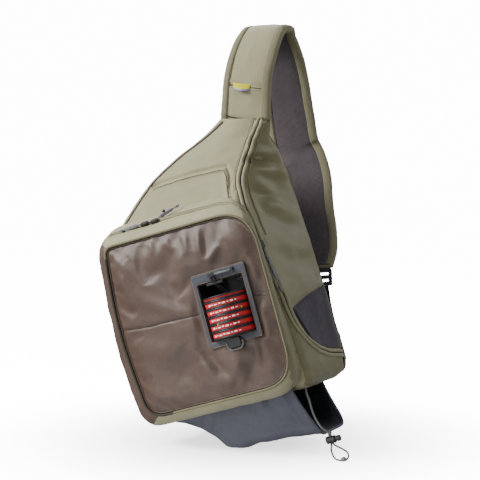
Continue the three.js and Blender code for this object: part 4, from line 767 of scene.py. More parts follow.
# Front pocket: gusset, face, piping
pocketSet = {
    "left": -105.0, "base": 76.0, "width": 243.0, "height": 254.0, "depth": 52.0, "topFall": 7.0,
    "gusset": [(0.006, 0, 0, 0), (0.12, 0.4, 0.2, -0.2), (0.34, 0.86, 0.46, 0), (0.62, 1.04, 0.74, 0.5), (1, 1, 1, 1),
               (1.4, 0.85, 0.96, 2)],
    "gussetRows": 60, "leftColumns": (147, 6), "crown": 7.0, "grid": 170, "hole": (31, 109, 153, 250),
    # ridges and creases of the coated face: line, half width, height
    "folds": [
        ([(-68, 259), (-52, 240), (-33, 227), (-7, 213), (24, 201)], 8.0, 3.0),
        ([(-112, 208), (-56, 203), (-16, 202), (29, 200)], 2.4, -1.1),
        ([(-92, 214), (-56, 211), (-16, 209), (20, 207)], 5.0, 0.8),
        ([(112, 206), (122, 205), (139, 201)], 2.4, -1.1),
        ([(53, 322), (54, 300), (52, 268)], 5.0, 2.6),
        ([(62, 318), (62, 295), (60, 272)], 4.0, -1.8),
        ([(84, 286), (67, 273), (54, 264)], 4.5, 2.6),
        ([(-22, 334), (-25, 316), (-22, 300)], 3.2, 2.0), ([(-12, 334), (-14, 312)], 3.0, -1.8),
        ([(-42, 333), (-44, 316)], 3.4, 1.8), ([(-33, 334), (-35, 318)], 3.0, -1.6),
        ([(4, 333), (2, 312), (6, 296)], 4.0, 1.9), ([(16, 334), (18, 308)], 3.4, -1.6),
        ([(30, 333), (33, 306), (30, 284)], 4.4, 2.0), ([(-62, 330), (-66, 306)], 4.2, 1.6),
        ([(-10, 254), (4, 252), (11, 240)], 9.0, 1.7), ([(-60, 290), (-20, 276), (20, 268)], 10.0, -1.7),
        ([(-88, 290), (-80, 262), (-78, 230)], 7.0, 1.8), ([(-74, 312), (-50, 292), (-44, 268)], 7.0, -1.5),
        ([(-86, 176), (-40, 162), (0, 168)], 11.0, 3.0), ([(-70, 140), (-30, 126), (10, 140), (30, 150)], 10.0, -3.4),
        ([(-4, 163), (12, 134), (36, 104), (52, 84)], 8.0, 4.6), ([(14, 150), (34, 118), (62, 96)], 7.0, -3.6),
        ([(73, 146), (62, 118), (40, 90)], 7.5, 4.0), ([(100, 146), (92, 120), (70, 92)], 8.0, -3.2),
        ([(120, 190), (116, 150), (100, 112)], 8.0, 2.8), ([(-88, 118), (-60, 98), (-20, 88)], 9.0, 3.0),
        ([(-40, 106), (0, 98), (20, 84)], 6.0, -1.6), ([(118, 270), (124, 240), (122, 214)], 5.0, 1.6),
        ([(96, 320), (104, 290), (118, 268)], 6.0, 1.6), ([(-30, 190), (0, 184), (24, 190)], 8.0, 1.5)],
}


def pocketLoop(flare, rise, taper, grow, y, corner=8, edges=(40, 40, 40, 40)):
    s = pocketSet
    left = s["left"] - 28 * flare - grow
    right = s["left"] + s["width"] - 10 * taper + grow
    bottom = s["base"] - 14 * flare - grow
    top = s["base"] + s["height"] + 31 * rise + grow
    corners = [(left, y, bottom), (right, y, bottom), (right - 18 * rise, y, top - s["topFall"]), (left, y, top)]
    radii = [34 + grow, 48 + grow, 54 + grow, 16 + 22 * flare + grow]
    return roundedLoop(corners, radii, corner, edges, [None, None, None, (-8, 0, 0)])


def makeGusset(s):
    rows = spread(s["gusset"], s["gussetRows"])
    p = np.array([pocketLoop(flare, rise, taper, 0.5, depth * s["depth"]) for depth, flare, rise, taper in rows])
    n = gridNormals(p, wrap=True)
    middle = p.mean(axis=(0, 1))
    if ((p - middle) * n).sum() < 0:
        n = -n
    push = 1.4 * noiseField(p * np.array([1, 1.8, 1]), 30, 5.0) + 0.5 * noiseField(p, 11, 2.0)
    depths = p[..., 1]
    push += np.where(n[..., 2] > 0.4, 1.0, 0.3) * (-1.3 * np.exp(-((depths - 24) / 1.6) ** 2)
                                                   + 0.9 * np.exp(-((depths - 19) / 2.6) ** 2)
                                                   + 0.9 * np.exp(-((depths - 29) / 2.6) ** 2))
    push += -1.5 * np.exp(-((p[..., 0] - 12 - depths * 0.5) / 2.4) ** 2) * (n[..., 2] < -0.4)
    ends = np.arange(s["gussetRows"])[:, None]
    p = p + n * (push * np.clip(ends / 3, 0, 1) * np.clip((s["gussetRows"] - 1 - ends) / 6, 0, 1))[..., None]
    verts = bagPoints(p.reshape(-1, 3))
    faces = gridFaces(len(p), p.shape[1], wrapColumns=True) + capFaces(len(p), p.shape[1], verts)[1:]
    gusset = outward(makeObject("pocketGusset", verts, faces, "sage"))
    gusset.data.materials.append(finishes["brown"])
    # the gusset's right-facing side takes the darker sage copy as painted shade; its left columns are brown cloth
    gusset.data.materials.append(finishes["shadedSage"])
    along = Vector((leanCos, 0, leanSin))
    first, last = s["leftColumns"]
    for face in gusset.data.polygons:
        column = min(v % p.shape[1] for v in face.vertices) if 0 not in [v % p.shape[1] for v in face.vertices] else 0
        onLeft = column >= first or column < last
        face.material_index = 1 if onLeft else 2 if face.normal.dot(along) > 0.6 else 0
    return gusset


def coonsGrid(loop, count):
    # four sides of the outline, from the corners' middles
    z, x = loop[:, 2], loop[:, 0]
    marks = [np.argmin(x + z), np.argmax(x - z), np.argmax(x + z), np.argmin(x - z)]
    n = len(loop)
    sides = []
    for k in range(4):
        a, b = marks[k], marks[(k + 1) % 4]
        index = np.arange(a, b + 1 if b > a else b + n + 1) % n
        sides.append(curvePoints(loop[index], count))
    bottom, right, top, left = sides[0], sides[1], sides[2][::-1], sides[3][::-1]
    u = np.linspace(0, 1, count)[None, :, None]
    v = np.linspace(0, 1, count)[:, None, None]
    grid = ((1 - v) * bottom[None] + v * top[None] + (1 - u) * left[:, None] + u * right[:, None]
            - ((1 - u) * (1 - v) * bottom[0] + u * (1 - v) * bottom[-1] + (1 - u) * v * top[0] + u * v * top[-1]))
    return grid


def settleCloth(points, faces, pinned, s):
    # a short simulation from the laid-out cloth; gives how far each point moves
    mesh = bpy.data.meshes.new("clothTrial")
    mesh.from_pydata([tuple(v) for v in points], [], faces)
    trial = bpy.data.objects.new("clothTrial", mesh)
    scene.collection.objects.link(trial)
    group = trial.vertex_groups.new(name="pin")
    for weight in np.unique(np.round(pinned, 1)):
        if weight > 0:
            group.add([int(i) for i in np.nonzero(np.round(pinned, 1) == weight)[0]], float(weight), "REPLACE")
    cloth = trial.modifiers.new("cloth", "CLOTH")
    settings = cloth.settings
    settings.quality = 6
    settings.mass = 0.25
    settings.tension_stiffness = 20
    settings.compression_stiffness = 12
    settings.shear_stiffness = 6
    settings.bending_stiffness = s["bending"]
    settings.vertex_group_mass = "pin"
    settings.shrink_min = -s["extra"]
    settings.use_pressure = True
    settings.uniform_pressure_force = s["pressure"]
    settings.effector_weights.gravity = 0
    cloth.point_cache.frame_start = 1
    cloth.point_cache.frame_end = s["frames"]
    for frameNumber in range(1, s["frames"] + 1):
        scene.frame_set(frameNumber)
    seen = trial.evaluated_get(bpy.context.evaluated_depsgraph_get())
    out = np.zeros(len(points) * 3)
    seen.data.vertices.foreach_get("co", out)
    scene.frame_set(1)
    bpy.data.objects.remove(trial)
    move = out.reshape(-1, 3) - points
    edges = np.array([(f[k], f[(k + 1) % 4]) for f in faces for k in range(4)])
    for _ in range(s["smooth"]):
        total = np.zeros_like(move)
        count = np.zeros(len(move))
        for a, b in ((0, 1), (1, 0)):
            np.add.at(total, edges[:, a], move[edges[:, b]])
            np.add.at(count, edges[:, a], 1)
        free = (pinned < 0.9)[:, None]
        move = np.where(free, 0.4 * move + 0.6 * total / np.maximum(count, 1)[:, None], move)
    size = np.linalg.norm(move, axis=1, keepdims=True)
    print("cloth moved up to", round(float(size.max()) * 1000, 1), "mm")
    return move * np.minimum(1, s["cap"] * mm / np.maximum(size, 1e-9))


faceCloth = {"pressure": 2.5, "extra": 0.03, "bending": 6.0, "frames": 20, "cap": 4.5, "smooth": 20}


def makeFace(s):
    count = s["grid"]
    grid = coonsGrid(pocketLoop(0, 0, 0, -3.0, 0), count)
    x, z = grid[..., 0], grid[..., 2]
    edge = np.full(x.shape, 1e9)
    outline = pocketLoop(0, 0, 0, -3.0, 0)
    edge, _ = lineDistance(x, z, np.r_[outline[:, [0, 2]], outline[:1, [0, 2]]])
    body = 1 - np.exp(-(edge / 9.0) ** 1.3)
    height = 1.2 + s["crown"] * (1 - np.exp(-edge / 26))
    hole = s["hole"]
    nearHole = np.hypot(np.maximum(np.maximum(hole[0] - x, x - hole[1]), 0),
                        np.maximum(np.maximum(hole[2] - z, z - hole[3]), 0))
    calm = np.clip((nearHole - 1) / 12, 0.15, 1)
    for line, width, out in s["folds"]:
        d, along = lineDistance(x, z, line)
        fade = np.sin(math.pi * np.clip(along, 0.001, 0.999)) ** 0.8 if width > 2.6 else 1.0
        height += body * calm * fade * out * (1.15 if width > 2.6 else 1.2) * np.exp(-(d / (width * (1.35 if width > 2.6 else 0.8))) ** 2)
    height += body * calm * (3.2 * noiseField(grid, 62, 1.0) + 0.8 * noiseField(grid * np.array([1.3, 1, 0.8]), 24, 4.0))
    puckers = np.exp(-edge / 9) * 0.4 * np.sin((x * 0.9 + z * 0.9) / 3.1 + noiseField(grid, 20, 9.0) * 3)
    height += puckers * np.clip(edge / 3, 0, 1)
    out = grid.copy()
    out[..., 1] = 0.4 - height
    back = grid.copy()
    back[..., 1] = 1.4
    n = count * count
    verts = bagPoints(np.r_[out.reshape(-1, 3), back.reshape(-1, 3)])
    faces = []
    for f in gridFaces(count, count):
        middle = out.reshape(-1, 3)[list(f)].mean(0)
        if hole[0] < middle[0] < hole[1] and hole[2] < middle[2] < hole[3]:
            continue
        faces.append(f)
        faces.append(tuple(reversed([i + n for i in f])))
    count2 = {}
    for f in faces[::2]:
        for a, b in zip(f, f[1:] + f[:1]):
            count2[(a, b)] = 1
    for a, b in list(count2):
        if (b, a) not in count2:
            faces.append((b, a, a + n, b + n))
    front = sorted({i for f in faces for i in f if i < n})
    local = {old: new for new, old in enumerate(front)}
    sheet = [tuple(local[i] for i in f) for f in faces if max(f) < n]
    flatEdge, flatHole = edge.reshape(-1)[front], nearHole.reshape(-1)[front]
    pinned = np.clip(1.15 - np.minimum(flatEdge, flatHole + 1.5) / 5.0, 0, 1)
    verts[front] += settleCloth(verts[front], sheet, pinned, faceCloth)
    used = sorted({i for f in faces for i in f})
    renumber = {old: new for new, old in enumerate(used)}
    faces = [tuple(renumber[i] for i in f) for f in faces]
    return outward(makeObject("pocketFace", verts[used], faces, "brown"))


gusset = makeGusset(pocketSet)
finishPiece(gusset, nodes=["pocket_gusset"])
gussetTree = treeOf(gusset)
pocketFace = makeFace(pocketSet)
finishPiece(pocketFace, nodes=["pocket_face"])
faceTree = treeOf(pocketFace)
# dark strips along the face's seams: painted shade in the seam grooves, with stitches beside them
for k, line in enumerate(([(-112, 208), (-99, 207), (-56, 203), (-16, 202), (29, 200)], [(112, 206), (122, 205), (137, 201)])):
    path = bagPoints([(x, -8, z) for x, z in line])
    seam = stripOn("faceSeamPaintedShade%d" % k, faceTree, path, 120, [(-0.5, -0.4), (-0.45, 0.2), (0.45, 0.2), (0.5, -0.4)], "shade", (0, -1, 0))
    finishPiece(seam)
    threads = stitchesOn("faceStitches%d" % k, faceTree, [path + np.array((0, 0, 0.0032))], "browner", facing=(0, -1, 0))
    finishPiece(threads)
pipingLine = bagPoints(pocketLoop(0, 0, 0, 0.2, -2.6, 10, (30, 30, 30, 30)))
piping = tubeMesh("pocketPiping", pipingLine, 1.9 * mm, "thread", 10, closed=True)
# the piping's left run takes the dark shade cloth: a painted shadow line between the folded brown edge and the face
piping.data.materials.append(finishes["shade"])
for face in piping.data.polygons:
    if face.center.x < -0.117 + (0.3 - face.center.z) * 0.29 and face.center.z < 0.27:
        face.material_index = 1
finishPiece(piping, nodes=["pocket_piping"])
innerPiping = tubeMesh("pocketEdge", bagPoints(pocketLoop(0, 0, 0, -3.2, -1.6, 10, (30, 30, 30, 30))), 0.9 * mm, "brown", 8,
                       closed=True)
finishPiece(innerPiping)


def makePocketZip():
    # sage reverse coil on the gusset's top, start and end near the corners
    line = [(-112, 24, 344), (-96, 24, 352), (-60, 24, 352), (0, 24, 351), (60, 24, 348), (98, 24, 344), (116, 24, 330)]
    up = np.array((-leanSin, 0, leanCos))
    coil = stripOn("pocketZip", gussetTree, bagPoints(curvePoints(np.array(line, float), 60)), 160,
                   [(-3.4, -0.5), (-3.2, 0.5), (-1.1, 0.6), (-0.9, 1.4), (0.9, 1.4), (1.1, 0.6), (3.2, 0.5), (3.4, -0.5)],
                   "sage", up)
    finishPiece(coil, nodes=["pocket_zip"])
    teeth = stitchesOn("pocketZipTeeth", gussetTree, [bagPoints(curvePoints(np.array(line, float), 60))], "thread",
                       pitch=1.6, length=1.0, radius=0.9, lift=1.2, facing=up)
    finishPiece(teeth)


makePocketZip()
beadSet = [(-80.2, 25, 347.5, 2.4), (-7.0, 25, 358.5, 2.4)]
for k, (x, y, z, r) in enumerate(beadSet):
    rings = [[(x + r * math.sin(math.pi * a / 8) * math.cos(b * math.pi / 8), y + r * math.sin(math.pi * a / 8) * math.sin(b * math.pi / 8),
               z + r * math.cos(math.pi * a / 8)) for b in range(16)] for a in range(9)]
    bead = outward(makeObject("pullBead%d" % k, bagPoints(np.array(rings).reshape(-1, 3)), gridFaces(9, 16, wrapColumns=True), "black"))
    finishPiece(bead)
print("pocket")



# Slate sleeve under the sack: open at its right end, flat where it stands
bootSet = {
    "outlines": [  # at, front, back, front drop, back drop
        (0.02, 0.14, 0.95, 1.05, 0.86), (0.06, 0.06, 0.98, 1, 0.56), (0.1, 0.02, 0.99, 0.96, 0.42),
        (0.17, 0, 1, 0.87, 0.34), (0.25, 0, 1, 0.64, 0.24), (0.325, 0, 1, 0.37, 0.16), (0.38, 0, 1, 0.1, 0.08),
        (0.44, 0, 1, -0.02, 0.02), (0.57, 0, 0.99, 0.02, 0.02), (0.7, 0, 0.93, 0, 0), (0.82, 0, 0.8, -0.04, -0.02),
        (0.92, 0, 0.67, -0.08, -0.06), (1.06, 0, 0.62, -0.18, -0.15)],
    "base": 62.0, "top": 84.0, "reach": 127.0, "slant": math.tan(math.radians(19)), "wall": 2.4,
    "steps": 90, "radii": (16, 20, 4, 4),
    "creases": [((54, 62), (62, 34), 4.0, 1.8), ((66, 60), (76, 30), 4.5, -1.8), ((34, 66), (36, 40), 5.0, 1.5),
                ((88, 60), (96, 36), 5.0, 1.6), ((10, 66), (4, 44), 5.0, -1.3), ((-16, 62), (-30, 36), 6.0, 1.4),
                ((-44, 66), (-60, 48), 6.0, -1.4), ((104, 58), (114, 30), 5.0, -1.4)],
}


def makeBoot(s):
    rows = spread(s["outlines"], 80)
    loops = []
    for at, front, back, frontDrop, backDrop in rows:
        x = bodySet["left"] + bodySet["width"] * at
        y0 = bodySet["front"] + bodySet["depth"] * front - 2.7
        y1 = bodySet["front"] + bodySet["depth"] * back
        corners = [(x, y0, s["base"] * frontDrop), (x, y1, s["base"] * backDrop), (x, y1, s["top"]), (x, y0, s["top"])]
        loops.append(roundedLoop(corners, s["radii"], 8, [18, 12, 18, 34], [None, None, None, (0, -6 * min(at, 1), 0)]))
    loops = np.array(loops)
    columns = loops.shape[1]
    grid = np.zeros((s["steps"], columns, 3))
    for c in range(columns):
        line = loops[:, c]
        over = line[:, 0] - (s["reach"] - line[:, 2] * s["slant"])
        k = int(np.argmax(over > 0))
        share = over[k - 1] / (over[k - 1] - over[k])
        end = line[k - 1] * (1 - share) + line[k] * share
        cut = np.r_[line[:k], end[None]]
        t = np.linspace(0, len(cut) - 1, s["steps"])
        for axis in range(3):
            grid[:, c, axis] = np.interp(t, np.arange(len(cut)), cut[:, axis])
    n = gridNormals(grid, wrap=True)
    middle = grid.mean(axis=1, keepdims=True)
    if ((grid - middle) * n).sum() < 0:
        n = -n
    ends = np.arange(s["steps"])[:, None]
    push = 1.5 * noiseField(grid * np.array([1, 1, 0.6]), 30, 11.0) + 0.7 * noiseField(grid, 11, 2.0)
    frontSide = np.clip(-n[..., 1] * 2 - 0.4, 0, 1)
    for a, b, width, out in s["creases"]:
        d, along = lineDistance(grid[..., 0], grid[..., 2], [a, b])
        push += frontSide * out * np.exp(-(d / width) ** 2)
    push *= np.clip(ends / 5, 0, 1) * np.clip((s["steps"] - 1 - ends) / 4, 0.15, 1)
    outer = grid + n * push[..., None]
    inner = outer - n * s["wall"]
    outerWorld, innerWorld = bagPoints(outer), bagPoints(inner)
    outerWorld[..., 2] = np.maximum(outerWorld[..., 2], 0.0002)
    innerWorld[..., 2] = np.maximum(innerWorld[..., 2], s["wall"] * mm)
    count = s["steps"] * columns
    verts = np.r_[outerWorld.reshape(-1, 3), innerWorld.reshape(-1, 3)]
    faces = gridFaces(s["steps"], columns, wrapColumns=True)
    faces += [tuple(reversed([i + count for i in f])) for f in gridFaces(s["steps"], columns, wrapColumns=True)]
    last = (s["steps"] - 1) * columns
    for c in range(columns):
        c2 = (c + 1) % columns
        faces.append((last + c, last + c2, last + c2 + count, last + c + count))
        faces.append((c2, c, c + count, c2 + count))
    boot = outward(makeObject("sleeve", verts, faces, "slate"))
    return boot, outerWorld[-1], innerWorld[-1], outerWorld


boot, mouthRim, mouthInner, bootGrid = makeBoot(bootSet)
finishPiece(boot, nodes=["base_boot"])
bootTree = treeOf(boot)
rimLine = (mouthRim + mouthInner) / 2
rimKeep = [p for p in curvePoints(np.r_[rimLine, rimLine[:1]], 160)]
rimLow = np.array(rimKeep)
rimLow[:, 2] = np.maximum(rimLow[:, 2], 0.0023)
rim = tubeMesh("mouthBinding", rimLow, 2.1 * mm, "slate", 10, closed=False)
finishPiece(rim, nodes=["mouth_binding"])
hem = stitchesOn("mouthStitches", bootTree, [bootGrid[-6, 64:140], bootGrid[-9, 64:140]], "slate", pitch=3.2)
finishPiece(hem)
print("sleeve")


# Shoulder strap: padded outer, spacer mesh lining, bound edges
strapSet = {
    "rows": [  # side, depth, rise, width, turn
        (0, 0, 0, 1.01, 0), (0.11, -0.05, 0.5, 0.95, 0), (0.26, 0, 0.85, 0.92, 0), (0.28, 0.11, 0.97, 0.9, 0),
        (0.24, 0.31, 1, 0.9, 0), (0.12, 0.5, 0.95, 0.9, 2), (0.09, 0.64, 0.85, 0.9, 4), (0.08, 0.82, 0.58, 0.93, 6),
        (0.1, 0.97, 0.02, 0.99, 8), (0.19, 1, -0.2, 0.98, 10), (0.36, 0.98, -0.3, 0.95, 12), (0.5, 0.94, -0.42, 0.93, 12),
        (0.62, 0.86, -0.62, 0.92, 12), (0.78, 0.79, -0.78, 0.86, 12), (0.92, 0.72, -0.9, 0.72, 12),
        (0.98, 0.66, -1, 0.54, 12)],
    "seam": (108.49, 127.2, 462.05), "sway": 80.0, "reach": 143.0, "rise": 132.0, "drop": 222.0, "wide": 80.0,
    "half": 6.5, "binding": 4.6, "steps": 240,
}


def centripetal(points, count, end=1.0):
    p = np.asarray(points, float)
    n = len(p)
    out, tangents = [], []
    for t in np.linspace(0, (n - 1) * end, count):
        k = min(int(t), n - 2)
        w = t - k
        p1, p2 = p[k], p[k + 1]
        p0 = p[k - 1] if k > 0 else 2 * p1 - p2
        p3 = p[k + 2] if k + 2 < n else 2 * p2 - p1
        d0, d1, d2 = (max(np.linalg.norm(b - a) ** 0.5, 1e-4) for a, b in ((p0, p1), (p1, p2), (p2, p3)))
        m1 = ((p1 - p0) / d0 - (p2 - p0) / (d0 + d1) + (p2 - p1) / d1) * d1
        m2 = ((p2 - p1) / d1 - (p3 - p1) / (d1 + d2) + (p3 - p2) / d2) * d1
        c2 = -3 * p1 + 3 * p2 - 2 * m1 - m2
        c3 = 2 * p1 - 2 * p2 + m1 + m2
        out.append(p1 + m1 * w + c2 * w * w + c3 * w ** 3)
        tangents.append(m1 + 2 * c2 * w + 3 * c3 * w * w)
    tangents = np.array(tangents)
    return np.array(out), tangents / np.linalg.norm(tangents, axis=1, keepdims=True)


def strapFrames(s):
    rows = np.array(s["rows"])
    x, y, z = s["seam"]
    seam = np.array((x * leanCos - z * leanSin, y, x * leanSin + z * leanCos + 0.3))
    points = [seam + (r[0] * s["sway"], r[1] * s["reach"], r[2] * (s["rise"] if r[2] > 0 else s["drop"])) for r in rows]
    centre, tangent = centripetal(points, s["steps"])
    tangent[0] = (0, 0, 1)
    centre[0] -= (0, 0, 3.5)
    t = np.linspace(0, len(rows) - 1, s["steps"])
    turn = np.radians(np.interp(t, np.arange(len(rows)), rows[:, 4]))
    half = np.interp(t, np.arange(len(rows)), rows[:, 3]) * s["wide"] / 2
    for _ in range(3):
        half[1:-1] = (half[:-2] + 2 * half[1:-1] + half[2:]) / 4
    side = np.stack([np.cos(turn), np.sin(turn), np.zeros_like(turn)], 1)
    across = side - tangent * (side * tangent).sum(1, keepdims=True)
    across /= np.linalg.norm(across, axis=1, keepdims=True)
    return centre, tangent, across, np.cross(across, tangent), half


strapCentre, strapTangent, strapAcross, strapOut, strapHalf = strapFrames(strapSet)
strapRun = np.r_[0, np.cumsum(np.linalg.norm(np.diff(strapCentre, axis=0), axis=1))]


def strapPoint(i, side, height):
    # side and height in millimetres from the strap's centre line
    return strapCentre[i] + strapAcross[i] * side + strapOut[i] * height


def makeStrapLayer(name, direction, finish, s):
    columns = 34
    steps = s["steps"]
    grid = np.zeros((steps, columns, 3))
    low = np.zeros((steps, columns, 3))
    uv = np.zeros((steps, columns, 2))
    for i in range(steps):
        reach = strapHalf[i] - s["binding"] + 1.2
        for c in range(columns):
            t = -1 + 2 * c / (columns - 1)
            pillow = 2.6 + (s["half"] - 2.6) * (1 - abs(t) ** 3.2)
            soft = noise.noise(Vector((t * 1.6, strapRun[i] / 46, 4.0 if direction > 0 else 9.0))) * 0.9
            fine = noise.noise(Vector((t * 5, strapRun[i] / 15, 14.0))) * 0.25
            seamAt = abs(strapRun[i] - 52 - t * 3.0)
            cross = (-1.7 * math.exp(-(seamAt / 1.5) ** 2) + 0.7 * math.exp(-((seamAt - 5) / 3) ** 2)) if direction > 0 else 0
            nearBase = min(1, strapRun[i] / 8)
            height = max(1.6, (pillow + soft + fine + cross)) * (0.72 + 0.28 * nearBase)
            grid[i, c] = strapPoint(i, t * reach, direction * height)
            low[i, c] = strapPoint(i, t * reach, direction * 0.5)
            uv[i, c] = (t * reach * mm, strapRun[i] * mm)
    n = steps * columns
    verts = standPoints(np.r_[grid.reshape(-1, 3), low.reshape(-1, 3)])
    faces = gridFaces(steps, columns) + [tuple(reversed([i + n for i in f])) for f in gridFaces(steps, columns)]
    ring = ([c for c in range(columns)] + [r * columns + columns - 1 for r in range(1, steps)]
            + [(steps - 1) * columns + c for c in range(columns - 2, -1, -1)] + [r * columns for r in range(steps - 2, 0, -1)])
    for k, a in enumerate(ring):
        b = ring[(k + 1) % len(ring)]
        faces.append((a, a + n, b + n, b))
    uvs = np.r_[uv.reshape(-1, 2), uv.reshape(-1, 2)]
    return outward(makeObject(name, verts, faces, finish, uv=uvs))


strapOuter = makeStrapLayer("strapOuter", 1, "sage", strapSet)
finishPiece(strapOuter, nodes=["strap_outer"])
strapLining = makeStrapLayer("strapLining", -1, "mesh", strapSet)
finishPiece(strapLining, nodes=["strap_mesh"])


def makeStrapBinding(s):
    # one folded tape down an edge, round the end and up the other edge
    profile = [(-8.0, 4.9), (-7.5, 6.0), (-3.5, 6.0), (1.5, 5.0), (3.9, 3.0), (4.8, 0), (3.9, -3.0), (1.5, -5.0),
               (-3.5, -6.0), (-7.5, -6.0), (-8.0, -4.9), (-7.4, -3.2), (0, -2.6), (0, 2.6), (-7.4, 3.2)]
    stations = [(i, -1, 0.0) for i in range(0, s["steps"], 2)]
    last = s["steps"] - 1
    stations += [(last, -1, 0.0), (last, -1, 0.33), (last, -1, 0.66), (last, -0.6, 1.0), (last, 0, 1.0), (last, 0.6, 1.0),
                 (last, 1, 0.66), (last, 1, 0.33), (last, 1, 0.0)]
    stations += [(i, 1, 0.0) for i in range(last - 1, -1, -2)]
    rings = []
    for i, edge, turn in stations:
        inner = strapCentre[i] + strapAcross[i] * edge * (strapHalf[i] - s["binding"])
        angle = turn * math.pi / 2
        sign = 1 if edge >= 0 else -1
        out = strapAcross[i] * sign * math.cos(angle) + strapTangent[i] * math.sin(angle)
        wave = noise.noise(Vector((strapRun[i] / 22, edge, 3.0))) * 0.35
        rings.append([inner + out * (a + (wave if a > 0 else 0)) + strapOut[i] * h for a, h in profile])
    grid = standPoints(rings)
    faces = gridFaces(len(stations), len(profile), wrapColumns=True)
    faces += capFaces(len(stations), len(profile), None)
    return outward(makeObject("strapBinding", grid.reshape(-1, 3), faces, "taupe"))


strapBinding = makeStrapBinding(strapSet)
finishPiece(strapBinding, nodes=["strap_binding"])
outerTree, liningTree, bindingTree = treeOf(strapOuter), treeOf(strapLining), treeOf(strapBinding)


def strapLine(inset, height, first=0, last=None, step=6, edge=-1):
    last = strapSet["steps"] if last is None else last
    return [standPoints(strapPoint(i, edge * (strapHalf[i] - inset), height)) for i in range(first, last, step)]


strapStitches = stitchesOn("strapStitches", bindingTree, [strapLine(10.6, 6.2, edge=-1), strapLine(10.6, 6.2, edge=1),
                                                          strapLine(10.6, -6.2, edge=-1), strapLine(10.6, -6.2, edge=1)],
                           "thread", pitch=3.6, length=2.4, radius=0.3, lift=0.15)
finishPiece(strapStitches)


# Lime ribbon sewn across the strap, standing off as a small loop
tabSet = {"run": 52.0, "wide": 27.0, "offset": -5.0, "bulge": 8.0, "tall": 9.0, "thick": 1.2}


def makeTab(s):
    i = int(np.argmin(np.abs(strapRun - s["run"])))
    rings = []
    for k in range(33):
        share = k / 32
        slope = math.cos(math.pi * share) * 0.8
        out = strapOut[i] - strapAcross[i] * slope
        out = out / np.linalg.norm(out)
        ring = []
        for a, b in ((-1, -1), (-1, 1), (-0.4, 1), (1, 1), (1, -1), (-0.4, -1)):
            stand = s["bulge"] * (0.95 if a < -0.9 else 0.8 if a < 0 else 0.3)
            lift = 6.5 + s["thick"] / 2 + (stand - s["thick"]) * math.sin(math.pi * share) ** 0.7
            sag = -1.6 * math.sin(math.pi * share) * (1 if a < 0 else 0)
            middle = strapPoint(i, (share - 0.5) * s["wide"] + s["offset"], lift)
            ring.append(middle + strapTangent[i] * (a * s["tall"] / 2 + sag) + out * b * s["thick"] / 2)
        rings.append(ring)
    grid = standPoints(rings)
    faces = gridFaces(33, 6, wrapColumns=True) + capFaces(33, 6, None)
    tab = outward(makeObject("ribbonTab", grid.reshape(-1, 3), faces, "lime"))
    tab.data.materials.append(finishes["blueGrey"])
    for k, face in enumerate(tab.data.polygons):
        if k < 32 * 6 and k % 6 in (0, 1, 4, 5):
            face.material_index = 1
    soften(tab, 0.35, 2)
    return tab


tab = makeTab(tabSet)
finishPiece(tab, nodes=["strap_tab"])


# Seam across the strap behind the ribbon, and the seam where the strap joins the sack; both creases get a dark strip of
# painted shade
def makeStrapSeams():
    i = int(np.argmin(np.abs(strapRun - tabSet["run"])))
    line = [standPoints(strapPoint(i, t * (strapHalf[i] - 8), 6.5)) for t in np.linspace(-1, 1, 12)]
    facing = strapOut[i]
    shade = stripOn("strapSeamShade", outerTree, line, 60, [(-0.6, -0.4), (-0.55, 0.3), (0.55, 0.3), (0.6, -0.4)], "shade", facing)
    lower = [p + np.array(-strapTangent[i] * 3.4 * mm) for p in line]
    thread = stitchesOn("strapSeamStitches", outerTree, [lower], "thread", pitch=3.4, facing=facing)
    base = [standPoints(strapPoint(1, t * (strapHalf[1] - 1), 6.1 - 2.6 * abs(t) ** 3 + 0.4) + np.array((0, 0, -1.5 - 3.0 * (1 - t * t))))
            for t in np.linspace(-1, 1, 20)]
    # dark tube along the joint: painted shade in the crease where the strap meets the sack
    joint = tubeMesh("strapJointPaintedShade", curvePoints(np.array(base), 40), 0.8 * mm, "shade", 8)
    for piece in (shade, thread, joint):
        finishPiece(piece)


makeStrapSeams()


# Black webbing from the strap's end down to its anchor
def makeWebbing():
    low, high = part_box("tail_anchor")
    anchorTop = np.array(((low.x + high.x) / 2, high.y + 1.2 * mm, (low.z + high.z) / 2))
    end = strapCentre[-1] + strapTangent[-1] * (4.6 + 1.5 + 26)
    start = standPoints(end)
    stops = [(0, 0, 0), (0.3, 0.22, 0.3), (0.65, 0.6, 0.75), (1, 1, 1)]
    points = [(start[0] + (anchorTop[0] - start[0]) * side, start[1] + (anchorTop[1] - start[1]) * back,
               start[2] + (anchorTop[2] - start[2]) * drop) for drop, side, back in stops]
    line = curvePoints(points, 50)
    rings = []
    bagAcross = np.array((leanCos, 0, leanSin))
    t = np.gradient(line, axis=0)
    t /= np.linalg.norm(t, axis=1, keepdims=True)
    for k, p in enumerate(line):
        side = strapAcross[-1] * (1 - k / 49) + bagAcross * k / 49
        side = side - t[k] * (side @ t[k])
        side = side / np.linalg.norm(side)
        out = np.cross(side, t[k])
        rings.append([p + side * a * mm + out * b * mm for a, b in
                      ((-12.5, 0), (-12.2, 0.75), (-11.2, 0.95), (0, 0.9), (11.2, 0.95), (12.2, 0.75), (12.5, 0),
                       (12.2, -0.75), (11.2, -0.95), (0, -0.9), (-11.2, -0.95), (-12.2, -0.75))])
    grid = np.array(rings)
    webbing = outward(makeObject("tailWebbing", grid.reshape(-1, 3), gridFaces(50, 12, wrapColumns=True)
                                 + capFaces(50, 12, None), "webbing"))
    return webbing


finishPiece(makeWebbing(), nodes=["tail_webbing"])
print("strap")


# Padded back panel, quilted by channels
padSet = {
    "rows": [(1, 12, 6, 0.7), (2, 8, 4, 1), (3, 6, 6, 1), (5, 6, 10, 1), (7, 8, 10, 1), (8, 8, 10, 1), (9, 10, 11, 1),
             (10, 12, 12, 0.9), (11, 14, 14, 0.7)],
    "thick": 13.0, "channels": (0.3, 0.7), "cross": (0.36, 0.68),
}


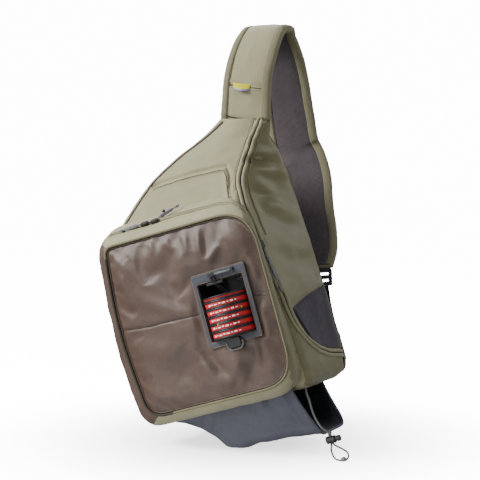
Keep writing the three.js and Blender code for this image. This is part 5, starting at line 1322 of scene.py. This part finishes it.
def makeBackPad(s):
    edges = []
    for row, left, right, pad in s["rows"]:
        o = bodySet["outlines"][row]
        edges.append((*bodyAt(o[0], 0, o[1]), left, *bodyAt(o[4], 0, o[3]), right, bodyAt(0, o[7], 0)[1], pad))
    rows = spread(edges, 90)
    columns = 60
    grid = np.zeros((90, columns, 3))
    for r, (x0, _, z0, left, x1, _, z1, right, back, pad) in enumerate(rows):
        v = r / 89
        for c in range(columns):
            u = c / (columns - 1)
            x = x0 + left + (x1 - right - x0 - left) * u
            z = z0 + (z1 - z0) * u
            edge = min(u, 1 - u) * 2 * (x1 - x0) / 2
            edgeV = min(v, 1 - v) * 300
            pillow = (1 - math.exp(-edge / 7)) * (1 - math.exp(-edgeV / 7))
            groove = sum(math.exp(-((u - k) * (x1 - x0) / 5.5) ** 2) for k in s["channels"])
            groove += sum(math.exp(-((v - k) * 300 / 5.5) ** 2) for k in s["cross"])
            soft = noise.noise(Vector((x / 26, z / 26, 6.0))) * 0.7
            grid[r, c] = (x, back + 0.6 + 1.6 + (s["thick"] - 2.0) * pad * pillow * (1 - 0.42 * min(1, groove)) + soft, z)
    flat = grid.copy()
    flat[..., 1] = np.minimum(grid[..., 1] - 1.4, rows[:, 8][:, None] + 0.7)
    n = 90 * columns
    uv = grid[..., [0, 2]].reshape(-1, 2) * mm
    verts = bagPoints(np.r_[grid.reshape(-1, 3), flat.reshape(-1, 3)])
    faces = gridFaces(90, columns) + [tuple(reversed([i + n for i in f])) for f in gridFaces(90, columns)]
    ring = ([c for c in range(columns)] + [r * columns + columns - 1 for r in range(1, 90)]
            + [89 * columns + c for c in range(columns - 2, -1, -1)] + [r * columns for r in range(88, 0, -1)])
    for k, a in enumerate(ring):
        b = ring[(k + 1) % len(ring)]
        faces.append((a, a + n, b + n, b))
    pad = outward(makeObject("backPad", verts, faces, "mesh", uv=np.r_[uv, uv]))
    outline = bagPoints(np.array([grid[r_, c_] for r_, c_ in [divmod(k, columns) for k in ring]])
                        + np.array((0, -1.0, 0)))
    return pad, outline


backPad, padOutline = makeBackPad(padSet)
finishPiece(backPad, nodes=["back_panel"])
padEdge = tubeMesh("backPadBinding", curvePoints(np.r_[padOutline, padOutline[:1]], 260), 1.9 * mm, "taupe", 8)
finishPiece(padEdge)
print("back pad")


# Tippet holder: cloth frame, glossy tray, six spools with printed elastic bands
holderSet = {
    "left": 27.0, "base": 149.0, "width": 86.0, "height": 105.0, "front": -10.4, "thick": 7.0,
    "side": 6.0, "bottom": 8.0, "top": 14.0, "radius": 5.0,
    "spool": {"x": 70.0, "y": 1.0, "base": 159.1, "count": 6, "radius": 34.5, "width": 10.2, "pitch": 10.6, "slim": 6.0,
              "flange": 1.6, "bore": 6.0, "inner": 30.0, "outer": 33.4, "sides": 96},
}


def rectLoop(x0, x1, z0, z1, radius, y, n=10, edge=12):
    return roundedLoop([(x0, y, z0), (x1, y, z0), (x1, y, z1), (x0, y, z1)], [radius] * 4, n, [edge] * 4)


def makeHolderFrame(s):
    x0, x1 = s["left"], s["left"] + s["width"]
    z0, z1 = s["base"], s["base"] + s["height"]
    wx0, wx1, wz0, wz1 = x0 + s["side"], x1 - s["side"], z0 + s["bottom"], z1 - s["top"]
    front, back = s["front"], s["front"] + s["thick"]
    loops = []
    for t, y, r in ((0, back, 3), (0, front + 1.4, 3), (0.04, front + 0.4, 3), (0.12, front + 0.1, 3), (0.3, front, 3),
                    (0.6, front, 2.5), (0.85, front + 0.1, 2), (0.95, front + 0.5, 2), (1, front + 1.2, 2), (1, back, 2)):
        loops.append(rectLoop(x0 + (wx0 - x0) * t, x1 + (wx1 - x1) * t, z0 + (wz0 - z0) * t, z1 + (wz1 - z1) * t, r, y))
    p = np.array(loops)
    p[2:8, :, 1] += 0.35 * noiseField(p[2:8], 9, 3.0)
    verts = bagPoints(p.reshape(-1, 3))
    faces = gridFaces(len(p), p.shape[1], wrapColumns=True, wrapRows=True)
    return outward(makeObject("holderFrame", verts, faces, "frameCloth"))


holderFrame = makeHolderFrame(holderSet)
finishPiece(holderFrame, nodes=["tippet_frame"])
frameTree = treeOf(holderFrame)


def makeHolderTrim(s):
    x0, x1, z0, z1, f = 27.0, 113.0, 149.0, 254.0, s["front"]
    edge = tubeMesh("holderEdge", bagPoints(rectLoop(x0 + 0.3, x1 - 0.3, z0 + 0.3, z1 - 0.3, 3, f + 0.6)), 0.6 * mm, "tan", 6, closed=True)
    inner = tubeMesh("holderInnerEdge", bagPoints(rectLoop(x0 + 5.7, x1 - 5.7, z0 + 7.7, z1 - 13.7, 2, f + 0.5)), 0.5 * mm, "tan", 6, closed=True)
    ring = rectLoop(x0 + 2.4, x1 - 2.4, z0 + 2.6, z1 - 2.6, 3, f)
    thread = stitchesOn("holderStitches", frameTree, [bagPoints(np.r_[ring, ring[:1]])], "tan", pitch=2.9, length=1.9,
                        radius=0.28, lift=0.15)
    for piece in (edge, inner, thread):
        finishPiece(piece)


makeHolderTrim(holderSet)


def spin(name, profile, sides, place, finish):
    # profile of radius and height, closed, turned about the stack's upright line
    angles = np.linspace(0, 2 * math.pi, sides, endpoint=False)
    grid = np.array([[(place[0] + r * math.cos(a), place[1] + r * math.sin(a), place[2] + h) for a in angles] for r, h in profile])
    faces = gridFaces(len(profile), sides, wrapColumns=True, wrapRows=True)
    return outward(makeObject(name, bagPoints(grid.reshape(-1, 3)), faces, finish))


def makeSpools(s):
    for k in range(s["count"]):
        width = s["slim"] if k == s["count"] - 1 else s["width"]
        place = (s["x"], s["y"], s["base"] + k * s["pitch"])
        f, r = s["flange"], s["radius"]
        body = [(s["bore"], 0), (r - 0.5, 0), (r - 0.15, 0.15), (r, 0.5), (r, f - 0.5), (r - 0.15, f - 0.15), (r - 0.5, f),
                (s["inner"] - 0.3, f), (s["inner"] - 0.3, width - f), (r - 0.5, width - f), (r - 0.15, width - f + 0.15),
                (r, width - f + 0.5), (r, width - 0.5), (r - 0.15, width - 0.15), (r - 0.5, width), (s["bore"], width)]
        spool = spin("spool%d" % (k + 1), body, s["sides"], place, "black")
        finishPiece(spool, nodes=["spool_%d" % (k + 1)])
        a, b, out = f + 0.25, width - f - 0.25, s["outer"]
        band = spin("band%d" % (k + 1), [(s["inner"], a), (out - 0.3, a), (out, a + 0.3), (out, b - 0.3), (out - 0.3, b), (s["inner"], b)],
                    s["sides"], place, "red")
        finishPiece(band, nodes=["band_%d" % (k + 1)])
        if k == s["count"] - 1:
            continue
        verts, faces = [], []
        middle = (a + b) / 2
        for mark, (start, width_) in enumerate(((-128, 7), (-117, 4), (-109, 9), (-96, 5), (-87, 8), (-75, 4), (-67, 7), (-56, 5))):
            for j in range(5):
                ang = math.radians(start + width_ * j / 4 + k * 2)
                for z in (middle - 1.1 + (mark % 2) * 0.5, middle + 1.1 - (mark % 3) * 0.4):
                    for r_ in (out + 0.04, out + 0.16):
                        verts.append((place[0] + r_ * math.cos(ang), place[1] + r_ * math.sin(ang), place[2] + z))
            base = len(verts) - 20
            for j in range(4):
                a0, b0 = base + j * 4, base + j * 4 + 4
                faces += [(a0 + 1, b0 + 1, b0 + 3, a0 + 3), (a0, a0 + 2, b0 + 2, b0), (a0, b0, b0 + 1, a0 + 1), (a0 + 2, a0 + 3, b0 + 3, b0 + 2)]
            faces += [(base, base + 1, base + 3, base + 2), (base + 16, base + 18, base + 19, base + 17)]
        dashes = outward(makeObject("bandMarks%d" % (k + 1), bagPoints(np.array(verts)), faces, "white", smooth=False))
        finishPiece(dashes)


makeSpools(holderSet["spool"])


def makeHolderCords(s):
    x, f, top, spool = 70.0, s["front"], s["base"] + s["height"], s["spool"]
    stackTop = spool["base"] + 5 * spool["pitch"] + spool["slim"]
    for side in (-1, 1):
        shiftX = side * 1.8
        line = [(x + shiftX, 1, spool["base"] - 5.5), (x + shiftX, 1, (spool["base"] + stackTop) / 2), (x + shiftX, 1, stackTop - 1),
                (x + shiftX - 3, -3, stackTop + 8), (x + shiftX - 7, f - 2.5, top - s["top"] - 2),
                (x + shiftX - 9, f - 2.5, top - 6 - 2.5 - 0.6)]
        strand = tubeMesh("strand%d" % (1 if side < 0 else 2), curvePoints(bagPoints(line), 60), 1.5 * mm, "darkCord", 10)
        finishPiece(strand, nodes=["tippet_strand_%d" % (1 if side < 0 else 2)])
    z = top - 6
    rod = tubeMesh("tippetRod", bagPoints([(66.3 + k * 1.0, f - 2.8, z + 0.25 * math.sin(k / 4)) for k in range(27)]), 1.5 * mm, "cord", 12)
    finishPiece(rod, nodes=["tippet_rod"])
    y = f - 0.3 - 2.5
    half, low = 10 + 1.8 + 0.3, s["base"] - 6 - 1.8 - 0.3
    loopLine = [(x - half, y, s["base"] + 2), (x - half, y, s["base"] - 3), (x - half + 4, y, low), (x, y, low - 0.5),
                (x + half - 4, y, low), (x + half, y, s["base"] - 3), (x + half, y, s["base"] + 2)]
    loop = tubeMesh("tippetLoop", curvePoints(bagPoints(loopLine), 50), 1.5 * mm, "cord", 10)
    finishPiece(loop, nodes=["tippet_loop"])
    for k, (rx, rz) in enumerate(((97.4, 194.4), (61.8, 179.0))):
        r = math.hypot(rx - 70, 0)
        ry = 1 - math.sqrt(max(0, 33.4 ** 2 - r ** 2)) - 0.1
        out = np.array((rx - 70, ry - 1, 0)) / 33.4
        side = np.array((-out[1], out[0], 0))
        verts, faces = [], []
        for radius, height in ((1.7, -0.6), (1.7, 0.3), (1.3, 0.8), (0.5, 1.0)):
            for q in range(14):
                ang = q * math.pi / 7
                verts.append(np.array((rx, ry, rz)) + out * height + side * radius * math.cos(ang) + np.array((0, 0, radius * math.sin(ang))))
        rivet = outward(makeObject("rivet%d" % k, bagPoints(np.array(verts)), gridFaces(4, 14, wrapColumns=True) + capFaces(4, 14, None), "gold"))
        finishPiece(rivet)


makeHolderCords(holderSet)
print("holder")


# Small cords by the sleeve's mouth
mouthCords = {
    "mouth_cord": [(116, 70, 60.5), (121, 58, 55.4), (126, 50, 46), (129, 44, 34), (132, 41, 20), (136, 43, 6),
                   (139.6, 48.6, -2), (142.2, 53.3, -7.6), (142.55, 54, -12.5)],
    "mouth_tail": [(137.2, 68, -7.2), (138.2, 60, -4.6), (139.3, 54.8, -7), (139.45, 54, -12.5)],
}
for nodeName, line in mouthCords.items():
    cordPiece = tubeMesh(nodeName.replace("_c", "C").replace("_t", "T"), curvePoints(bagPoints(line), 60), 1.4 * mm, "cord", 10)
    finishPiece(cordPiece, nodes=[nodeName])


# Hard pieces keep their CAD shapes, with soft edges
hardFinishes = {
    "main_slider": ("black", 0.8), "main_pull": ("grey", 0.7), "pocket_left_slider": ("black", 0.8),
    "pocket_right_slider": ("black", 0.8), "pocket_left_pull": ("grey", 0.6), "pocket_right_pull": ("grey", 0.6),
    "tippet_tray": ("gloss", 0.4), "tippet_knot": ("black", 0.6), "tippet_eye": ("black", 0.5), "tippet_bar": ("black", 0.4),
    "tippet_toggle": ("black", 0.8), "strap_buckle": ("black", 0.8), "tail_anchor": ("webbing", 0.5),
    "cord_lock": ("black", 0.7), "cord_lock_button": ("black", 0.5),
}
for nodeName, (finish, width) in hardFinishes.items():
    for part in frame["nodes"][nodeName] if isinstance(frame["nodes"][nodeName], (list, tuple)) else [frame["nodes"][nodeName]]:
        part.data.materials.clear()
        part.data.materials.append(finishes[finish])
        soften(part, width, 3)
print("hard pieces")


# Soft studio: white surround, pale floor, big key from the upper left
lightSet = {
    "world": (0.95, 0.97, 1.0, 1), "worldPower": 0.4, "surround": 14.0, "surroundRadius": 9.0,
    "lamps": [  # place, aim, size, power, colour
        ((-1500, -900, 1350), (0, 60, 280), 0.8, 96, (1, 0.985, 0.96)),
        ((-900, -2000, 700), (0, 60, 200), 0.7, 5, (1, 1, 1)),
        ((1150, -700, 900), (120, 110, 330), 0.5, 4.5, (0.97, 0.98, 1)),
        ((800, 1150, 900), (110, 110, 380), 0.35, 4.2, (1, 1, 0.98)),
        ((-600, 900, 1400), (0, 100, 350), 0.8, 16, (1, 1, 1)),
        ((0, -900, 30), (0, 40, 60), 0.4, 1.5, (1, 1, 1)),
        ((-40, -210, 4), (-20, -60, 300), 0.45, 0.75, (1, 1, 1)),
    ],
}


def glowMaterial(name, near, far, inner, outer):
    # painted glow that rises with the distance from the middle of the set: weak round the bag, so the floor there shows
    # darker, and strong further out
    m = bpy.data.materials.new(name)
    m.use_nodes = True
    t = m.node_tree
    shader = t.nodes["Principled BSDF"]
    shader.inputs["Roughness"].default_value = 0.9
    shader.inputs["Specular IOR Level"].default_value = 0.1
    shader.inputs["Base Color"].default_value = (0.9, 0.9, 0.9, 1)
    place = node(t, "ShaderNodeTexCoord")
    length = node(t, "ShaderNodeVectorMath", operation="LENGTH")
    t.links.new(place.outputs["Object"], length.inputs[0])
    rise = node(t, "ShaderNodeMapRange", interpolation_type="SMOOTHSTEP")
    rise.inputs["From Min"].default_value = inner
    rise.inputs["From Max"].default_value = outer
    rise.inputs["To Min"].default_value = near
    rise.inputs["To Max"].default_value = far
    t.links.new(length.outputs["Value"], rise.inputs[0])
    shader.inputs["Emission Color"].default_value = (1, 1, 1, 1)
    t.links.new(rise.outputs[0], shader.inputs["Emission Strength"])
    return m


def makeLights(s):
    world = bpy.data.worlds.new("studio")
    world.use_nodes = True
    background = world.node_tree.nodes["Background"]
    background.inputs[0].default_value = s["world"]
    background.inputs[1].default_value = s["worldPower"]
    scene.world = world
    for k, (at, to, size, power, colour) in enumerate(s["lamps"]):
        data = bpy.data.lights.new("lamp%d" % k, "AREA")
        data.shape = "DISK"
        data.size = size
        data.energy = power
        data.color = colour
        lamp = bpy.data.objects.new("lamp%d" % k, data)
        scene.collection.objects.link(lamp)
        a, b = Vector(standPoints(at)), Vector(standPoints(to))
        lamp.location = a
        lamp.visible_camera = False
        lamp.rotation_mode = "QUATERNION"
        lamp.rotation_quaternion = (a - b).to_track_quat("Z", "Y")
    # the floor's glow is painted light, dimmer round the bag so a darker area shows there; the surround glows evenly
    finishes["floor"] = glowMaterial("floorGlowDimNearBag", 1.7, s["surround"], 0.06, 0.5)
    finishes["surround"] = glowMaterial("whiteSurround", s["surround"], s["surround"], 0.1, 1)
    floor = makeObject("floor", [(-9, -9, 0), (9, -9, 0), (9, 9, 0), (-9, 9, 0)], [(0, 1, 2, 3)], "floor", smooth=False)
    r = s["surroundRadius"]
    rings = [[(r * math.sin(math.pi * a / 16) * math.cos(b * math.pi / 16), r * math.sin(math.pi * a / 16) * math.sin(b * math.pi / 16),
               r * math.cos(math.pi * a / 16)) for b in range(32)] for a in range(17)]
    dome = makeObject("surround", np.array(rings).reshape(-1, 3), gridFaces(17, 32, wrapColumns=True), "surround")
    for stagePiece in (floor, dome):
        stagePiece.visible_glossy = False
        stagePiece.visible_diffuse = False
    dome.visible_shadow = False
    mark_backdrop(floor, dome)


makeLights(lightSet)
print("lights")


triangles = sum(len(p.vertices) - 2 for o in scene.objects if o.type == "MESH" for p in o.data.polygons)
print("triangles", triangles)
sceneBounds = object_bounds()
{"cad": plain(cadBounds), "scene": plain(sceneBounds)}
